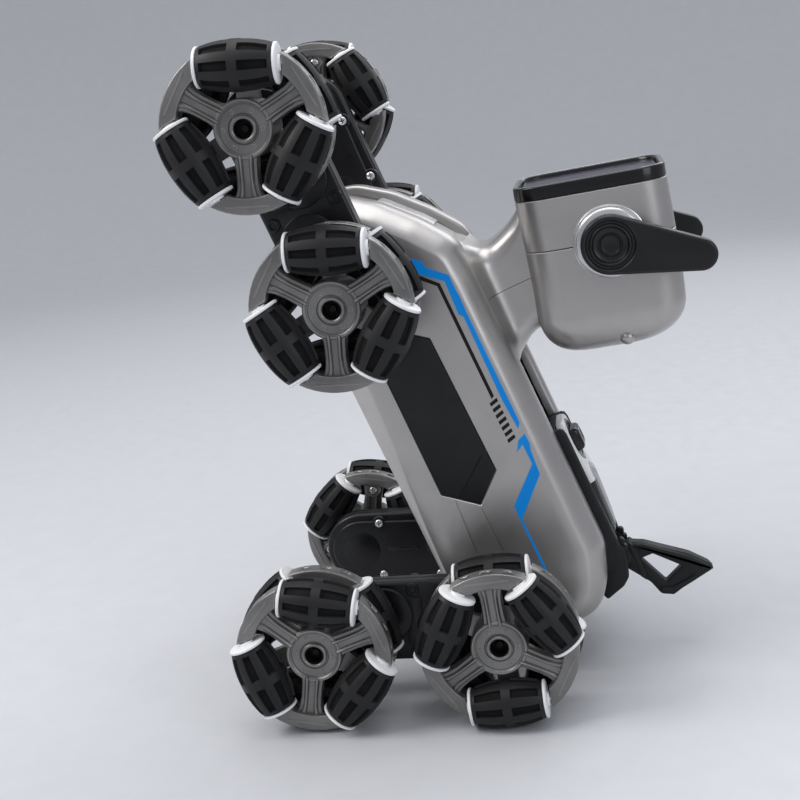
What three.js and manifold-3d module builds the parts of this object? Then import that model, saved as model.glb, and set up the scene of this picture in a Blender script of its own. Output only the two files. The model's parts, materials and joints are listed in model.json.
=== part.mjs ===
// A stunt robot dog, reared up on its two rear legs. Eight dual-row omni wheels sit at the ends
// of four geared legs. Millimetres, +Z up, +X is the dog's left side, its chest faces -Y.
// The origin is the centre of the footprint, on the ground.
import * as THREE from "three";
import { mergeVertices } from "three/addons/utils/BufferGeometryUtils.js";
import Module from "manifold-3d";

const wasm = await Module();
wasm.setup();

// ---------- Driving dimensions ----------
const GAP = 0.3; // between pieces that touch
const WALL = 2.2; // moulded shell thickness
const CENTRE_Y = 72.5; // from the rear outer wheel's contact point to the middle of the footprint

const WHEEL_RADIUS = 36;
const ROLLER_OFFSET = 25.2; // wheel axis to roller axis
const ROLLER_HALF = 18; // half length over the end caps
const PIN_HALF = 20; // half length of a roller's axle
const PIN_RADIUS = 1.2;
const ROLLER_SIDES = 8;
const CAP_RADIUS = 6.9; // white cap on each end of a roller
const ROW_OFFSET = 10; // each roller row from the wheel's middle plane
const HUB_RADIUS = 12.5;
const SPOKE_WIDTH = 9.4;
const RIM_OUTER = 34.6;
const RIM_INNER = 27.6;
const AXLE_RADIUS = 3.4;

const LEG_LENGTH = 81.5; // hip axis to outer wheel axis
const LEG_RADIUS = 19;
const LEG_INNER_X = 45;
const LEG_SPLIT_X = 52.5;
const LEG_OUTER_X = 60;
const WHEEL_X = 84; // middle plane of each wheel
const SHAFT_RADIUS = 6;
const SHAFT_END_X = 50;

const HIP_SPACING = 162.6; // rear hip to front hip, along the torso
const TORSO_PITCH = 20.56; // degrees the torso leans back from upright
const FRONT_LEG_ANGLE = 110.1; // degrees from +Y towards +Z
const REAR_LEG_ANGLE = 180;
const TORSO_HALF = 41; // half width over the side panels
const CHAMFER = 9; // shoulder between side and back
const CHANNEL_HALF = 20; // half width of the channel down the chest and back

const HEAD_HALF_X = 33;
const HEAD_HALF_Y = 34;
const HEAD_DEPTH = 78.5;
const HEAD_CORNER = 13;
const HEAD_SPLIT = -29.3; // height of the parting line below the face
const HEAD_PITCH = 5.4;
const BEZEL_DEPTH = 6;
const EAR_INNER_X = 40.3;
const EAR_OUTER_X = 48;
const EAR_HUB_RADIUS = 13;
const EAR_TIP_RADIUS = 7;
const EAR_LENGTH = 39;
const EAR_DROOP = -16; // degrees below the face plane
const EAR_BOSS_RADIUS = 14.7;
const NECK_HALF = 18;
const COVER_HALF = 15;
const TAIL_HALF = 5;
const TAIL_PIN_RADIUS = 1.5;
const BUTTON_HALF = 7.2;
const BUTTON_ALONG = [44.3, 55.7]; // up the spine
const WELL_HALF = 7.6; // the opening round the button
const WELL_ALONG = [43.9, 56.1];

const REAR_HIP = [LEG_LENGTH, WHEEL_RADIUS]; // y, z
const HEAD_PLACE = [132.2, 228.5]; // y, z of the face centre
const EAR_PLACE = [5.2, HEAD_SPLIT]; // y, z in the head's own frame
const TAIL_PIVOT = [53, -13]; // y, z in the torso's own frame

// ---------- Materials ----------
const paint = (color, roughness, metalness = 0) =>
  new THREE.MeshStandardMaterial({ color, roughness, metalness });
const silver = () => paint(0x9c9893, 0.38, 0.35);
const gloss = () => paint(0x0b0b0d, 0.12);
const black = () => paint(0x17171a, 0.5);
const rubber = () => paint(0x1d1d20, 0.7);
const gunmetal = () => paint(0x5d5a57, 0.42, 0.3);
const steel = () => paint(0xb8b8b8, 0.3, 0.9);

// ---------- Solid helpers ----------
const radians = THREE.MathUtils.degToRad;

function toSolid(geometry) {
  const bare = geometry.clone();
  bare.deleteAttribute("normal");
  bare.deleteAttribute("uv");
  const merged = mergeVertices(bare, 1e-4);
  return new wasm.Manifold(
    new wasm.Mesh({
      numProp: 3,
      vertProperties: Float32Array.from(merged.attributes.position.array),
      triVerts: Uint32Array.from(merged.index.array),
    }),
  );
}

function toMesh(name, solid, material) {
  const { vertProperties, triVerts } = solid.getMesh();
  const geometry = new THREE.BufferGeometry();
  geometry.setAttribute("position", new THREE.BufferAttribute(vertProperties, 3));
  geometry.setIndex(new THREE.BufferAttribute(triVerts, 1));
  geometry.computeVertexNormals();
  const mesh = new THREE.Mesh(geometry, material);
  mesh.name = name;
  return mesh;
}

const join = (solids) => solids.reduce((whole, solid) => whole.add(solid));

// Extruded shapes run along +Z in three.js; this turns them to run along +X, drawn in Y and Z.
const DRAWN_IN_YZ = new THREE.Matrix4().makeBasis(
  new THREE.Vector3(0, 1, 0),
  new THREE.Vector3(0, 0, 1),
  new THREE.Vector3(1, 0, 0),
);

const outline = (points) => new THREE.Shape(points.map(([y, z]) => new THREE.Vector2(y, z)));

function slab(shape, x0, x1, bevel = 0, curveSegments = 5) {
  const geometry = new THREE.ExtrudeGeometry(shape, {
    depth: x1 - x0 - 2 * bevel,
    bevelEnabled: bevel > 0,
    bevelThickness: bevel,
    bevelSize: bevel,
    bevelOffset: -bevel,
    bevelSegments: 1,
    curveSegments,
  });
  geometry.translate(0, 0, x0 + bevel);
  return toSolid(geometry.applyMatrix4(DRAWN_IN_YZ));
}

function rod(radius, x0, x1, y = 0, z = 0, sides = 16) {
  const geometry = new THREE.CylinderGeometry(radius, radius, x1 - x0, sides);
  geometry.rotateZ(-Math.PI / 2);
  geometry.translate((x0 + x1) / 2, y, z);
  return toSolid(geometry);
}

function block([x0, x1], [y0, y1], [z0, z1]) {
  const geometry = new THREE.BoxGeometry(x1 - x0, y1 - y0, z1 - z0);
  geometry.translate((x0 + x1) / 2, (y0 + y1) / 2, (z0 + z1) / 2);
  return toSolid(geometry);
}

const turned = (solid, degrees) => solid.rotate([degrees, 0, 0]);
const mirrored = (solid, side) => (side > 0 ? solid : solid.mirror([1, 0, 0]));
const sides = [
  ["left", 1],
  ["right", -1],
];

// A teardrop or stadium along +Y: a circle at the origin and one at the given length.
function taperedBar(startRadius, endRadius, length) {
  const lean = Math.asin((startRadius - endRadius) / length);
  const shape = new THREE.Shape();
  shape.absarc(0, 0, startRadius, Math.PI / 2 - lean, -Math.PI / 2 + lean, false);
  shape.absarc(length, 0, endRadius, -Math.PI / 2 + lean, Math.PI / 2 - lean, false);
  return shape;
}

// ---------- Wheels ----------
// Radius of the barrel so that its crown runs on the wheel's own circle.
const barrelRadius = (s) => Math.sqrt(WHEEL_RADIUS ** 2 - s ** 2) - ROLLER_OFFSET;

function rollerSolid(steps, pinEnd) {
  const cap = [CAP_RADIUS, ROLLER_HALF];
  const end = pinEnd.concat([cap]);
  const profile = end.map(([r, s]) => [r, -s]);
  const reach = ROLLER_HALF * 0.78;
  for (let i = -steps; i <= steps; i += 1) {
    const s = (reach * i) / steps;
    profile.push([barrelRadius(s), s]);
  }
  profile.push(...end.reverse());
  const points = profile.map(([r, s]) => new THREE.Vector2(r, s));
  const geometry = new THREE.LatheGeometry(points, ROLLER_SIDES);
  geometry.rotateX(Math.PI / 2);
  return toSolid(geometry);
}

// One star of the hub: three spokes that carry rim blocks, cut to clear the roller ends.
function rimBlock() {
  const endPlane = ROLLER_HALF + 0.35;
  const edge = (radius) => Math.PI / 3 - Math.asin(endPlane / radius);
  const shape = new THREE.Shape();
  shape.absarc(0, 0, RIM_OUTER, -edge(RIM_OUTER), edge(RIM_OUTER), false);
  shape.absarc(0, 0, RIM_INNER, edge(RIM_INNER), -edge(RIM_INNER), true);
  return shape;
}

const rollerAngles = (row) => [60, 180, 300].map((angle) => angle + (row > 0 ? 0 : 60));

function star(row) {
  const rim = row > 0 ? slab(rimBlock(), 4, 12, 0, 3) : slab(rimBlock(), -12, -4, 0, 3);
  const spokeX = row > 0 ? [4, 10] : [-10, -4];
  const spoke = block(spokeX, [HUB_RADIUS - 3, RIM_INNER + 2], [-SPOKE_WIDTH / 2, SPOKE_WIDTH / 2]);
  const arm = rim.add(spoke);
  return join(rollerAngles(row).map((angle) => turned(arm, angle - 60)));
}

function hubBody() {
  const boss = rod(HUB_RADIUS, -ROW_OFFSET, ROW_OFFSET, 0, 0, 12);
  const axle = rod(AXLE_RADIUS, LEG_SPLIT_X + 1.5 - WHEEL_X, -ROW_OFFSET + 1, 0, 0, 8);
  const centreHole = rod(3.9, ROW_OFFSET - 7, ROW_OFFSET + 1, 0, 0, 8);
  return join([boss, star(1), star(-1), axle]).subtract(centreHole);
}

function pinSockets(row) {
  const socket = toSolid(new THREE.CylinderGeometry(1.6, 1.6, 2 * PIN_HALF + 0.8, 6).rotateX(Math.PI / 2));
  const placed = socket.translate([row * ROW_OFFSET, ROLLER_OFFSET, 0]);
  return join(rollerAngles(row).map((angle) => turned(placed, angle)));
}

const jointedHub = hubBody().subtract(pinSockets(1)).subtract(pinSockets(-1));
const turnedPin = [
  [0, PIN_HALF],
  [PIN_RADIUS, PIN_HALF],
  [PIN_RADIUS, ROLLER_HALF],
];
const jointedRoller = rollerSolid(3, turnedPin);

function fixedWheelSolid() {
  const roller = rollerSolid(1, [[0, ROLLER_HALF + 2]]);
  const rollers = [1, -1].flatMap((row) =>
    rollerAngles(row).map((angle) =>
      turned(roller.translate([row * ROW_OFFSET, ROLLER_OFFSET, 0]), angle),
    ),
  );
  return join([hubBody(), ...rollers]);
}
const fixedWheel = fixedWheelSolid();

// A wheel with its six rollers as pieces of their own.
function rollerWheel(name) {
  const wheel = new THREE.Group();
  wheel.add(toMesh(`wheel_hub_${name}`, jointedHub, gunmetal()));
  for (const row of [1, -1]) {
    const rowName = row > 0 ? "out" : "in";
    rollerAngles(row).forEach((angle, i) => {
      const roller = toMesh(`roller_${name}_${rowName}_${i + 1}`, jointedRoller, rubber());
      roller.position.set(
        row * ROW_OFFSET,
        ROLLER_OFFSET * Math.cos(radians(angle)),
        ROLLER_OFFSET * Math.sin(radians(angle)),
      );
      roller.rotation.x = radians(angle);
      wheel.add(roller);
    });
  }
  return wheel;
}

// A wheel whose rollers are joined to the hub.
function plainWheel(name) {
  const wheel = new THREE.Group();
  wheel.add(toMesh(`wheel_${name}`, fixedWheel, gunmetal()));
  return wheel;
}

// The phase is the angle of one outer spoke from +Y towards +Z, on the left side.
function placeWheel(wheel, side, y, z, phase) {
  wheel.position.set(side * WHEEL_X, y, z);
  wheel.rotation.x = radians(phase);
  if (side > 0) return wheel;
  const flip = new THREE.Group();
  wheel.position.set(0, 0, 0);
  wheel.rotation.x = radians(180 - phase);
  flip.position.set(-WHEEL_X, y, z);
  flip.rotation.z = Math.PI;
  flip.add(wheel);
  return flip;
}

// ---------- Legs ----------
// A leg lies along +Y from its hip axis. The case carries the gears, the cover closes it.
function legCase() {
  const housing = slab(taperedBar(LEG_RADIUS, LEG_RADIUS, LEG_LENGTH), LEG_SPLIT_X, LEG_OUTER_X - 2, 0);
  const gearBulge = slab(taperedBar(LEG_RADIUS - 4, LEG_RADIUS - 4, LEG_LENGTH), LEG_OUTER_X - 3, LEG_OUTER_X);
  const bores = [0, LEG_LENGTH].map((y) => rod(AXLE_RADIUS + 0.6, LEG_SPLIT_X - 1, LEG_OUTER_X + 1, y, 0, 10));
  return housing.add(gearBulge).subtract(join(bores));
}

function legCover() {
  const plate = slab(taperedBar(LEG_RADIUS, LEG_RADIUS, LEG_LENGTH), LEG_INNER_X + 2, LEG_SPLIT_X - GAP);
  const raised = slab(taperedBar(LEG_RADIUS - 2, LEG_RADIUS - 2, LEG_LENGTH), LEG_INNER_X, LEG_INNER_X + 3);
  const shaftSocket = rod(SHAFT_RADIUS + GAP + 0.2, LEG_INNER_X - 1, SHAFT_END_X + GAP);
  return plate.add(raised).subtract(shaftSocket);
}

function legPair(name, angle, hip, wheels) {
  const pair = new THREE.Group();
  pair.position.set(0, hip[0], hip[1]);
  for (const [sideName, side] of sides) {
    const leg = new THREE.Group();
    leg.rotation.x = radians(angle);
    leg.add(toMesh(`leg_case_${name}_${sideName}`, mirrored(legCase(), side), black()));
    leg.add(toMesh(`leg_cover_${name}_${sideName}`, mirrored(legCover(), side), black()));
    pair.add(leg);
    const end = [LEG_LENGTH * Math.cos(radians(angle)), LEG_LENGTH * Math.sin(radians(angle))];
    for (const [position, y, z] of [["hip", 0, 0], ["outer", ...end]]) {
      const [build, phase] = wheels[position];
      pair.add(placeWheel(build(`${name}_${sideName}_${position}`), side, y, z, phase));
    }
  }
  pair.add(toMesh(`leg_shaft_${name}`, rod(SHAFT_RADIUS, -SHAFT_END_X, SHAFT_END_X), steel()));
  return pair;
}

// ---------- Torso: +Z runs up the spine from the rear hip, +Y towards the back ----------
const TORSO_OUTLINE = [
  [-2, 206],
  [11, 203],
  [26, 192],
  [39, 178],
  [51, 162],
  [52.3, 145],
  [52.3, 5],
  [46.6, -11.3],
  [38, -23.5],
  [12, -27],
  [-8, -22],
  [-20, -8],
  [-23.5, 21],
  [-23.5, 119],
  [-21, 180],
  [-14, 198],
];
// The same top edge, set in by the depth of the channel.
const CHANNEL_FLOOR = [
  [-1, 200],
  [8, 197.5],
  [21.5, 187.5],
  [34.5, 173.8],
  [45.2, 159.5],
  [46.3, 144],
  [46.3, 7],
  [41.2, -8],
  [34.5, -17.3],
  [14, -19.5],
];
const DECK_TOP = [
  [-1, 202.6],
  [9.5, 200],
  [23.5, 189.7],
  [36.5, 176],
  [47.9, 160.8],
  [49.2, 144.5],
  [49.2, 61],
];
const HEX_PANEL = [
  [9, 133],
  [15.8, 133],
  [22.4, 127.9],
  [23.4, 60.1],
  [9.9, 47.7],
  [1.8, 54.2],
  [-5, 59.5],
  [-4.4, 119.5],
];

function torsoHollow() {
  const inner = new THREE.ExtrudeGeometry(outline(TORSO_OUTLINE), {
    depth: 2 * (TORSO_HALF - CHAMFER),
    bevelEnabled: true,
    bevelThickness: CHAMFER - WALL,
    bevelSize: CHAMFER,
    bevelOffset: -CHAMFER - WALL,
    bevelSegments: 1,
  });
  inner.translate(0, 0, -TORSO_HALF + CHAMFER);
  return toSolid(inner.applyMatrix4(DRAWN_IN_YZ));
}

function torsoShell() {
  const outer = slab(outline(TORSO_OUTLINE), -TORSO_HALF, TORSO_HALF, CHAMFER);
  const beyond = [
    [14, -60],
    [90, -60],
    [90, 240],
    [-1, 240],
  ];
  const channel = slab(outline([...CHANNEL_FLOOR, ...beyond]), -CHANNEL_HALF, CHANNEL_HALF);
  const panels = slab(outline(HEX_PANEL), -60, 60);
  const bores = [0, HIP_SPACING].map((z) => rod(SHAFT_RADIUS + 0.6, -60, 60, 0, z));
  return outer.subtract(torsoHollow()).subtract(channel).subtract(panels).subtract(join(bores));
}

function inset(points, distance) {
  const centre = points.reduce((sum, [y, z]) => [sum[0] + y, sum[1] + z], [0, 0]);
  const [cy, cz] = centre.map((value) => value / points.length);
  return points.map(([y, z]) => {
    const reach = Math.hypot(y - cy, z - cz);
    const scale = 1 - distance / reach;
    return [cy + (y - cy) * scale, cz + (z - cz) * scale];
  });
}

function sideShells() {
  const shell = torsoShell();
  return sides.map(([name, side]) => {
    const half = side > 0 ? [GAP / 2, 60] : [-60, -GAP / 2];
    const kept = shell.intersect(block(half, [-90, 90], [-90, 260]));
    return toMesh(`side_shell_${name}`, kept, silver());
  });
}

function sidePanels() {
  return sides.map(([name, side]) => {
    const face = outline(inset(HEX_PANEL, 0.6));
    const panel = slab(face, TORSO_HALF - WALL, TORSO_HALF - 0.4);
    return toMesh(`side_panel_${name}`, mirrored(panel, side), black());
  });
}

// The recessed centre strip over the chest and shoulders, as far as the spine frame.
function backDeck() {
  const floor = CHANNEL_FLOOR.slice(0, 6).map(([y, z]) => [y + 0.2, z + 0.3]);
  const strip = outline([...DECK_TOP, [46.6, 61], ...floor.reverse()]);
  const deck = slab(strip, -CHANNEL_HALF + GAP, CHANNEL_HALF - GAP);
  return toMesh("back_deck", deck, silver());
}

// Black rails beside the spine cover, and the fork that holds the tail.
function spineFrame() {
  const shape = outline([
    [46.7, 60.6],
    [55, 60.6],
    [55, 3],
    [57.4, -7],
    [53.4, -21.4],
    [49.5, -24.7],
    [39, -28.4],
    [35.4, -17],
    [41.7, -7.9],
    [46.7, 7],
  ]);
  const body = slab(shape, -CHANNEL_HALF + GAP, CHANNEL_HALF - GAP);
  const seatHalf = COVER_HALF + 0.4;
  const slotHalf = TAIL_HALF + 0.4;
  const coverSeat = block([-seatHalf, seatHalf], [52.4, 70], [0.5, 62]);
  const buttonWell = block([-WELL_HALF, WELL_HALF], [40, 70], WELL_ALONG);
  const tailSlot = block([-slotHalf, slotHalf], [46.5, 70], [-40, -5]);
  const shoulders = [-1, 1].map((side) => {
    const x = side > 0 ? [12, 30] : [-30, -12];
    return block(x, [50, 70], [-40, 0]);
  });
  const pinHole = rod(TAIL_PIN_RADIUS + 0.6, -WELL_HALF, WELL_HALF, ...TAIL_PIVOT, 8);
  const cuts = [coverSeat, buttonWell, tailSlot, ...shoulders, pinHole];
  return toMesh("spine_frame", body.subtract(join(cuts)), black());
}

function spineCover() {
  const shape = outline([
    [52.7, 61],
    [56.6, 62.5],
    [57.4, 42],
    [58.9, 29.7],
    [57.2, 1],
    [52.7, 1],
  ]);
  const well = block([-WELL_HALF, WELL_HALF], [40, 70], WELL_ALONG);
  return toMesh("spine_cover", slab(shape, -COVER_HALF, COVER_HALF).subtract(well), silver());
}

function powerButton() {
  const cap = block([-BUTTON_HALF, BUTTON_HALF], [51.5, 61], BUTTON_ALONG);
  return toMesh("power_button", cap, black());
}

function tail() {
  const shape = outline([
    [59.5, -7.5],
    [66, -10.9],
    [83.3, -24.4],
    [90, -32.3],
    [91.6, -36],
    [82.1, -37.8],
    [74, -39.3],
    [68.6, -41],
    [63.3, -38.2],
    [61, -30.7],
    [57.7, -25.3],
    [53.4, -18.5],
    [48.2, -13],
    [52, -8.2],
  ]);
  const opening = outline([
    [63.5, -19.5],
    [74.5, -28.9],
    [67.8, -32],
  ]);
  shape.holes.push(new THREE.Path(opening.getPoints().reverse()));
  const fin = slab(shape, -TAIL_HALF, TAIL_HALF);
  const pin = rod(TAIL_PIN_RADIUS, -BUTTON_HALF, BUTTON_HALF, ...TAIL_PIVOT, 8);
  return toMesh("tail", fin.add(pin), black());
}

// Inside the shells.
function batteryPack() {
  const cells = block([-30, 30], [-19, 6], [20, 88]);
  const plug = block([-8, 8], [6, 12], [60, 84]);
  return toMesh("battery_pack", cells.add(plug), gunmetal());
}

function driveUnit() {
  const gearbox = block([-26, 26], [10, 40], [96, 132]);
  const motors = [-17, 17].map((x) => {
    const can = new THREE.CylinderGeometry(10, 10, 34, 12).rotateX(Math.PI / 2);
    can.translate(x, 25, 81);
    return toSolid(can);
  });
  return toMesh("drive_unit", join([gearbox, ...motors]), steel());
}

// ---------- Head: origin at the middle of the face, +Z out of the face ----------
function roundedBox(halfX, halfY, corner, z0, z1, bevel = 0) {
  const shape = new THREE.Shape();
  const quarter = Math.PI / 2;
  const corners = [
    [1, -1, -quarter],
    [1, 1, 0],
    [-1, 1, quarter],
    [-1, -1, Math.PI],
  ];
  for (const [sx, sy, start] of corners) {
    const x = sx * (halfX - corner);
    const y = sy * (halfY - corner);
    shape.absarc(x, y, corner, start, start + quarter, false);
  }
  const geometry = new THREE.ExtrudeGeometry(shape, {
    depth: z1 - z0 - 2 * bevel,
    bevelEnabled: bevel > 0,
    bevelThickness: bevel,
    bevelSize: bevel,
    bevelOffset: -bevel,
    bevelSegments: 2,
    curveSegments: 4,
  });
  geometry.translate(0, 0, z0 + bevel);
  return toSolid(geometry);
}

const HEAD_BACK_ROUND = 12;
const headBlank = roundedBox(HEAD_HALF_X, HEAD_HALF_Y, HEAD_CORNER, -HEAD_DEPTH, HEAD_BACK_ROUND, HEAD_BACK_ROUND);
const headHollow = roundedBox(
  HEAD_HALF_X - WALL,
  HEAD_HALF_Y - WALL,
  HEAD_CORNER - WALL,
  -HEAD_DEPTH + WALL,
  HEAD_BACK_ROUND + WALL,
  HEAD_BACK_ROUND - WALL,
);
const headWall = headBlank.subtract(headHollow);
const everyX = [-90, 90];

function headFrontShell() {
  const band = block(everyX, [-90, 90], [HEAD_SPLIT + GAP / 2, -BEZEL_DEPTH - GAP]);
  return toMesh("head_front_shell", headWall.intersect(band), silver());
}

function headRearShell() {
  const band = block(everyX, [-90, 90], [-90, HEAD_SPLIT - GAP / 2]);
  let shell = headWall.intersect(band);
  for (const [, side] of sides) {
    const boss = rod(EAR_BOSS_RADIUS, HEAD_HALF_X + GAP, EAR_INNER_X - GAP, ...EAR_PLACE, 20);
    const root = rod(EAR_BOSS_RADIUS, HEAD_HALF_X - 1.5, HEAD_HALF_X + 1, ...EAR_PLACE, 20);
    const bore = rod(4.6, HEAD_HALF_X - 9, EAR_INNER_X + 1, ...EAR_PLACE, 12);
    const button = boss.add(root.intersect(band));
    shell = shell.add(mirrored(button, side)).subtract(mirrored(bore, side));
  }
  return toMesh("head_rear_shell", shell, silver());
}

function faceBezel() {
  const rim = headBlank.intersect(block(everyX, [-90, 90], [-BEZEL_DEPTH, 0]));
  const pocket = roundedBox(HEAD_HALF_X - 3.2, HEAD_HALF_Y - 3.2, HEAD_CORNER - 3, -2.6, 5);
  return toMesh("face_bezel", rim.subtract(pocket), gloss());
}

function faceScreen() {
  const glass = roundedBox(HEAD_HALF_X - 3.6, HEAD_HALF_Y - 3.6, HEAD_CORNER - 3.4, -2.3, -0.3);
  return toMesh("face_screen", glass, gloss());
}

function ear(name, side) {
  const plate = slab(taperedBar(EAR_HUB_RADIUS, EAR_TIP_RADIUS, EAR_LENGTH), EAR_INNER_X, EAR_OUTER_X);
  const dish = rod(7, EAR_OUTER_X - 2, EAR_OUTER_X + 1);
  const pin = rod(4, HEAD_HALF_X + 1.5, EAR_INNER_X + 1, 0, 0, 12);
  const solid = mirrored(plate.subtract(dish).add(pin), side);
  const mesh = toMesh(`ear_${name}`, solid, black());
  mesh.position.set(0, ...EAR_PLACE);
  mesh.rotation.x = radians(EAR_DROOP);
  return mesh;
}

// ---------- Assembly ----------
const robot = new THREE.Group();
robot.position.y = -CENTRE_Y;

const torso = new THREE.Group();
torso.position.set(0, ...REAR_HIP);
torso.rotation.x = radians(TORSO_PITCH);

const head = new THREE.Group();
head.position.set(0, ...HEAD_PLACE);
head.rotation.x = radians(HEAD_PITCH);

// The neck stands on the deck and ends flat against the head.
function neck() {
  const shape = outline([
    [49.5, 97.3],
    [55, 101.5],
    [63, 107],
    [90, 108],
    [90, 166],
    [74.9, 158.1],
    [62.8, 153.3],
    [57.9, 152.5],
    [54.8, 154],
    [50.8, 157.5],
    [49.5, 150],
  ]);
  const stem = slab(shape, -NECK_HALF, NECK_HALF);
  torso.updateMatrix();
  head.updateMatrix();
  const headInTorso = torso.matrix.clone().invert().multiply(head.matrix);
  const space = new THREE.BoxGeometry(200, 200, 300).translate(0, 100 - HEAD_HALF_Y - GAP, 0);
  return toMesh("neck", stem.subtract(toSolid(space.applyMatrix4(headInTorso))), silver());
}

torso.add(...sideShells(), ...sidePanels(), backDeck(), spineFrame(), spineCover(), powerButton());
torso.add(tail(), batteryPack(), driveUnit(), neck());
head.add(headFrontShell(), headRearShell(), faceBezel(), faceScreen());
head.add(...sides.map(([name, side]) => ear(name, side)));

const torsoUp = [-Math.sin(radians(TORSO_PITCH)), Math.cos(radians(TORSO_PITCH))];
const FRONT_HIP = REAR_HIP.map((value, i) => value + HIP_SPACING * torsoUp[i]);
const frontWheels = { hip: [plainWheel, 29], outer: [plainWheel, 28] };
const rearWheels = { hip: [rollerWheel, 95], outer: [rollerWheel, 20] };
robot.add(torso, head);
robot.add(legPair("front", FRONT_LEG_ANGLE, FRONT_HIP, frontWheels));
robot.add(legPair("rear", REAR_LEG_ANGLE, REAR_HIP, rearWheels));

export default robot;
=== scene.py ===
"""A stunt robot dog on eight omni wheels, reared up on its rear legs.

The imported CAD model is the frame. Outlines below are in millimetres, in the frame of the sub-part
that they belong to, and make() turns them into metres in the row frame.
"""

import json
import math

import bmesh
import bpy
from mathutils import Matrix, Vector


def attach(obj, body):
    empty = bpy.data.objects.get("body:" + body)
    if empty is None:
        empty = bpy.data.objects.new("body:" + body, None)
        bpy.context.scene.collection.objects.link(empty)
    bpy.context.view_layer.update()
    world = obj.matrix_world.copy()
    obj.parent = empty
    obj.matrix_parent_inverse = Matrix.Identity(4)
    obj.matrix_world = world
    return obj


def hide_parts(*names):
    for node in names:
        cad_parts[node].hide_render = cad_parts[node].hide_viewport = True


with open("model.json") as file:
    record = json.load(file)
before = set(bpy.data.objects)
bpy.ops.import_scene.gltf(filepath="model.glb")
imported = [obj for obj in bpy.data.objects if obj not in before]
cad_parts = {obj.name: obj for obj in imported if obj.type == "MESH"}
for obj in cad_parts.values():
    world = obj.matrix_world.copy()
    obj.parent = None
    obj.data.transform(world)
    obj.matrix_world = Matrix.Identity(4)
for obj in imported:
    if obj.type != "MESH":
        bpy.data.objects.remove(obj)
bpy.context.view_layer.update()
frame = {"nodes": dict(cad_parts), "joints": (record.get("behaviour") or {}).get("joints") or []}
MM = 0.001
JOINTS = {joint["name"]: joint for joint in frame["joints"]}


def joint_place(name):
    return Vector(JOINTS[name]["pos_m"]) / MM


# ---------- Frames of the sub-parts, from the joints ----------
REAR_HIP = joint_place("rear_leg_swing")
FRONT_HIP = joint_place("front_leg_swing")
FRONT_WHEEL = joint_place("front_left_outer_wheel_spin")
REAR_WHEEL = joint_place("rear_left_outer_wheel_spin")
EAR = joint_place("ear_left_turn")
LEG_LENGTH = abs(REAR_WHEEL.y - REAR_HIP.y)
HIP_SPACING = (FRONT_HIP - REAR_HIP).length
TORSO_PITCH = math.atan2(REAR_HIP.y - FRONT_HIP.y, FRONT_HIP.z - REAR_HIP.z)
FRONT_LEG_ANGLE = math.atan2(FRONT_WHEEL.z - FRONT_HIP.z, FRONT_WHEEL.y - FRONT_HIP.y)
HEAD_PITCH = math.radians(5.4)
EAR_IN_HEAD = Vector((0, 5.2, -29.3))


def turn_x(angle):
    return Matrix.Rotation(angle, 4, "X")


TORSO = Matrix.Translation(REAR_HIP) @ turn_x(TORSO_PITCH)
HEAD_ORIGIN = Vector((0, EAR.y, EAR.z)) - turn_x(HEAD_PITCH) @ EAR_IN_HEAD
HEAD = Matrix.Translation(HEAD_ORIGIN) @ turn_x(HEAD_PITCH)
MIRROR = Matrix.Scale(-1, 4, (1, 0, 0))
SIDES = (("left", Matrix.Identity(4)), ("right", MIRROR))


# ---------- Outline and mesh helpers ----------
def rounded(points, radius, steps=6):
    """A closed outline with each corner as an arc. radius is one value or one for each corner."""
    count = len(points)
    radii = [radius] * count if isinstance(radius, (int, float)) else radius
    out = []
    for i, corner in enumerate(points):
        here = Vector(corner)
        before = Vector(points[i - 1]) - here
        after = Vector(points[(i + 1) % count]) - here
        angle = before.angle(after)
        if radii[i] <= 0 or angle > math.pi - 0.02:
            out.append(here)
            continue
        reach = radii[i] / math.tan(angle / 2)
        reach = min(reach, before.length * 0.48, after.length * 0.48)
        start = here + before.normalized() * reach
        end = here + after.normalized() * reach
        bend = reach * math.tan(angle / 2)
        centre = here + (before.normalized() + after.normalized()).normalized() * (
            bend / math.sin(angle / 2)
        )
        first = start - centre
        sweep = first.angle_signed(end - centre)
        for k in range(steps + 1):
            turn = Matrix.Rotation(-sweep * k / steps, 2)
            out.append(centre + turn @ first)
    return out


def resampled(points, count):
    """The same closed outline as evenly spaced points."""
    lengths = [0.0]
    for a, b in zip(points, points[1:] + points[:1]):
        lengths.append(lengths[-1] + (b - a).length)
    total = lengths[-1]
    out = []
    i = 0
    for k in range(count):
        at = total * k / count
        while lengths[i + 1] < at:
            i += 1
        share = (at - lengths[i]) / max(lengths[i + 1] - lengths[i], 1e-9)
        out.append(points[i].lerp(points[(i + 1) % len(points)], share))
    return out


def area(points):
    pairs = zip(points, points[1:] + points[:1])
    return sum(a[0] * b[1] - b[0] * a[1] for a, b in pairs) / 2


def offset(points, distance):
    """The outline moved inwards by distance, or outwards where it is negative."""
    sign = 1 if area(points) > 0 else -1
    count = len(points)
    out = []
    for i in range(count):
        here = Vector(points[i])
        d0 = (here - Vector(points[i - 1])).normalized()
        d1 = (Vector(points[(i + 1) % count]) - here).normalized()
        n0 = Vector((-d0.y, d0.x))
        n1 = Vector((-d1.y, d1.x))
        mitre = (n0 + n1).normalized()
        stretch = 1 / max(mitre.dot(n1), 0.35)
        out.append(here + mitre * (distance * sign * stretch))
    return out


def at_x(points, x):
    return [Vector((x, p[0], p[1])) for p in points]


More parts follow.
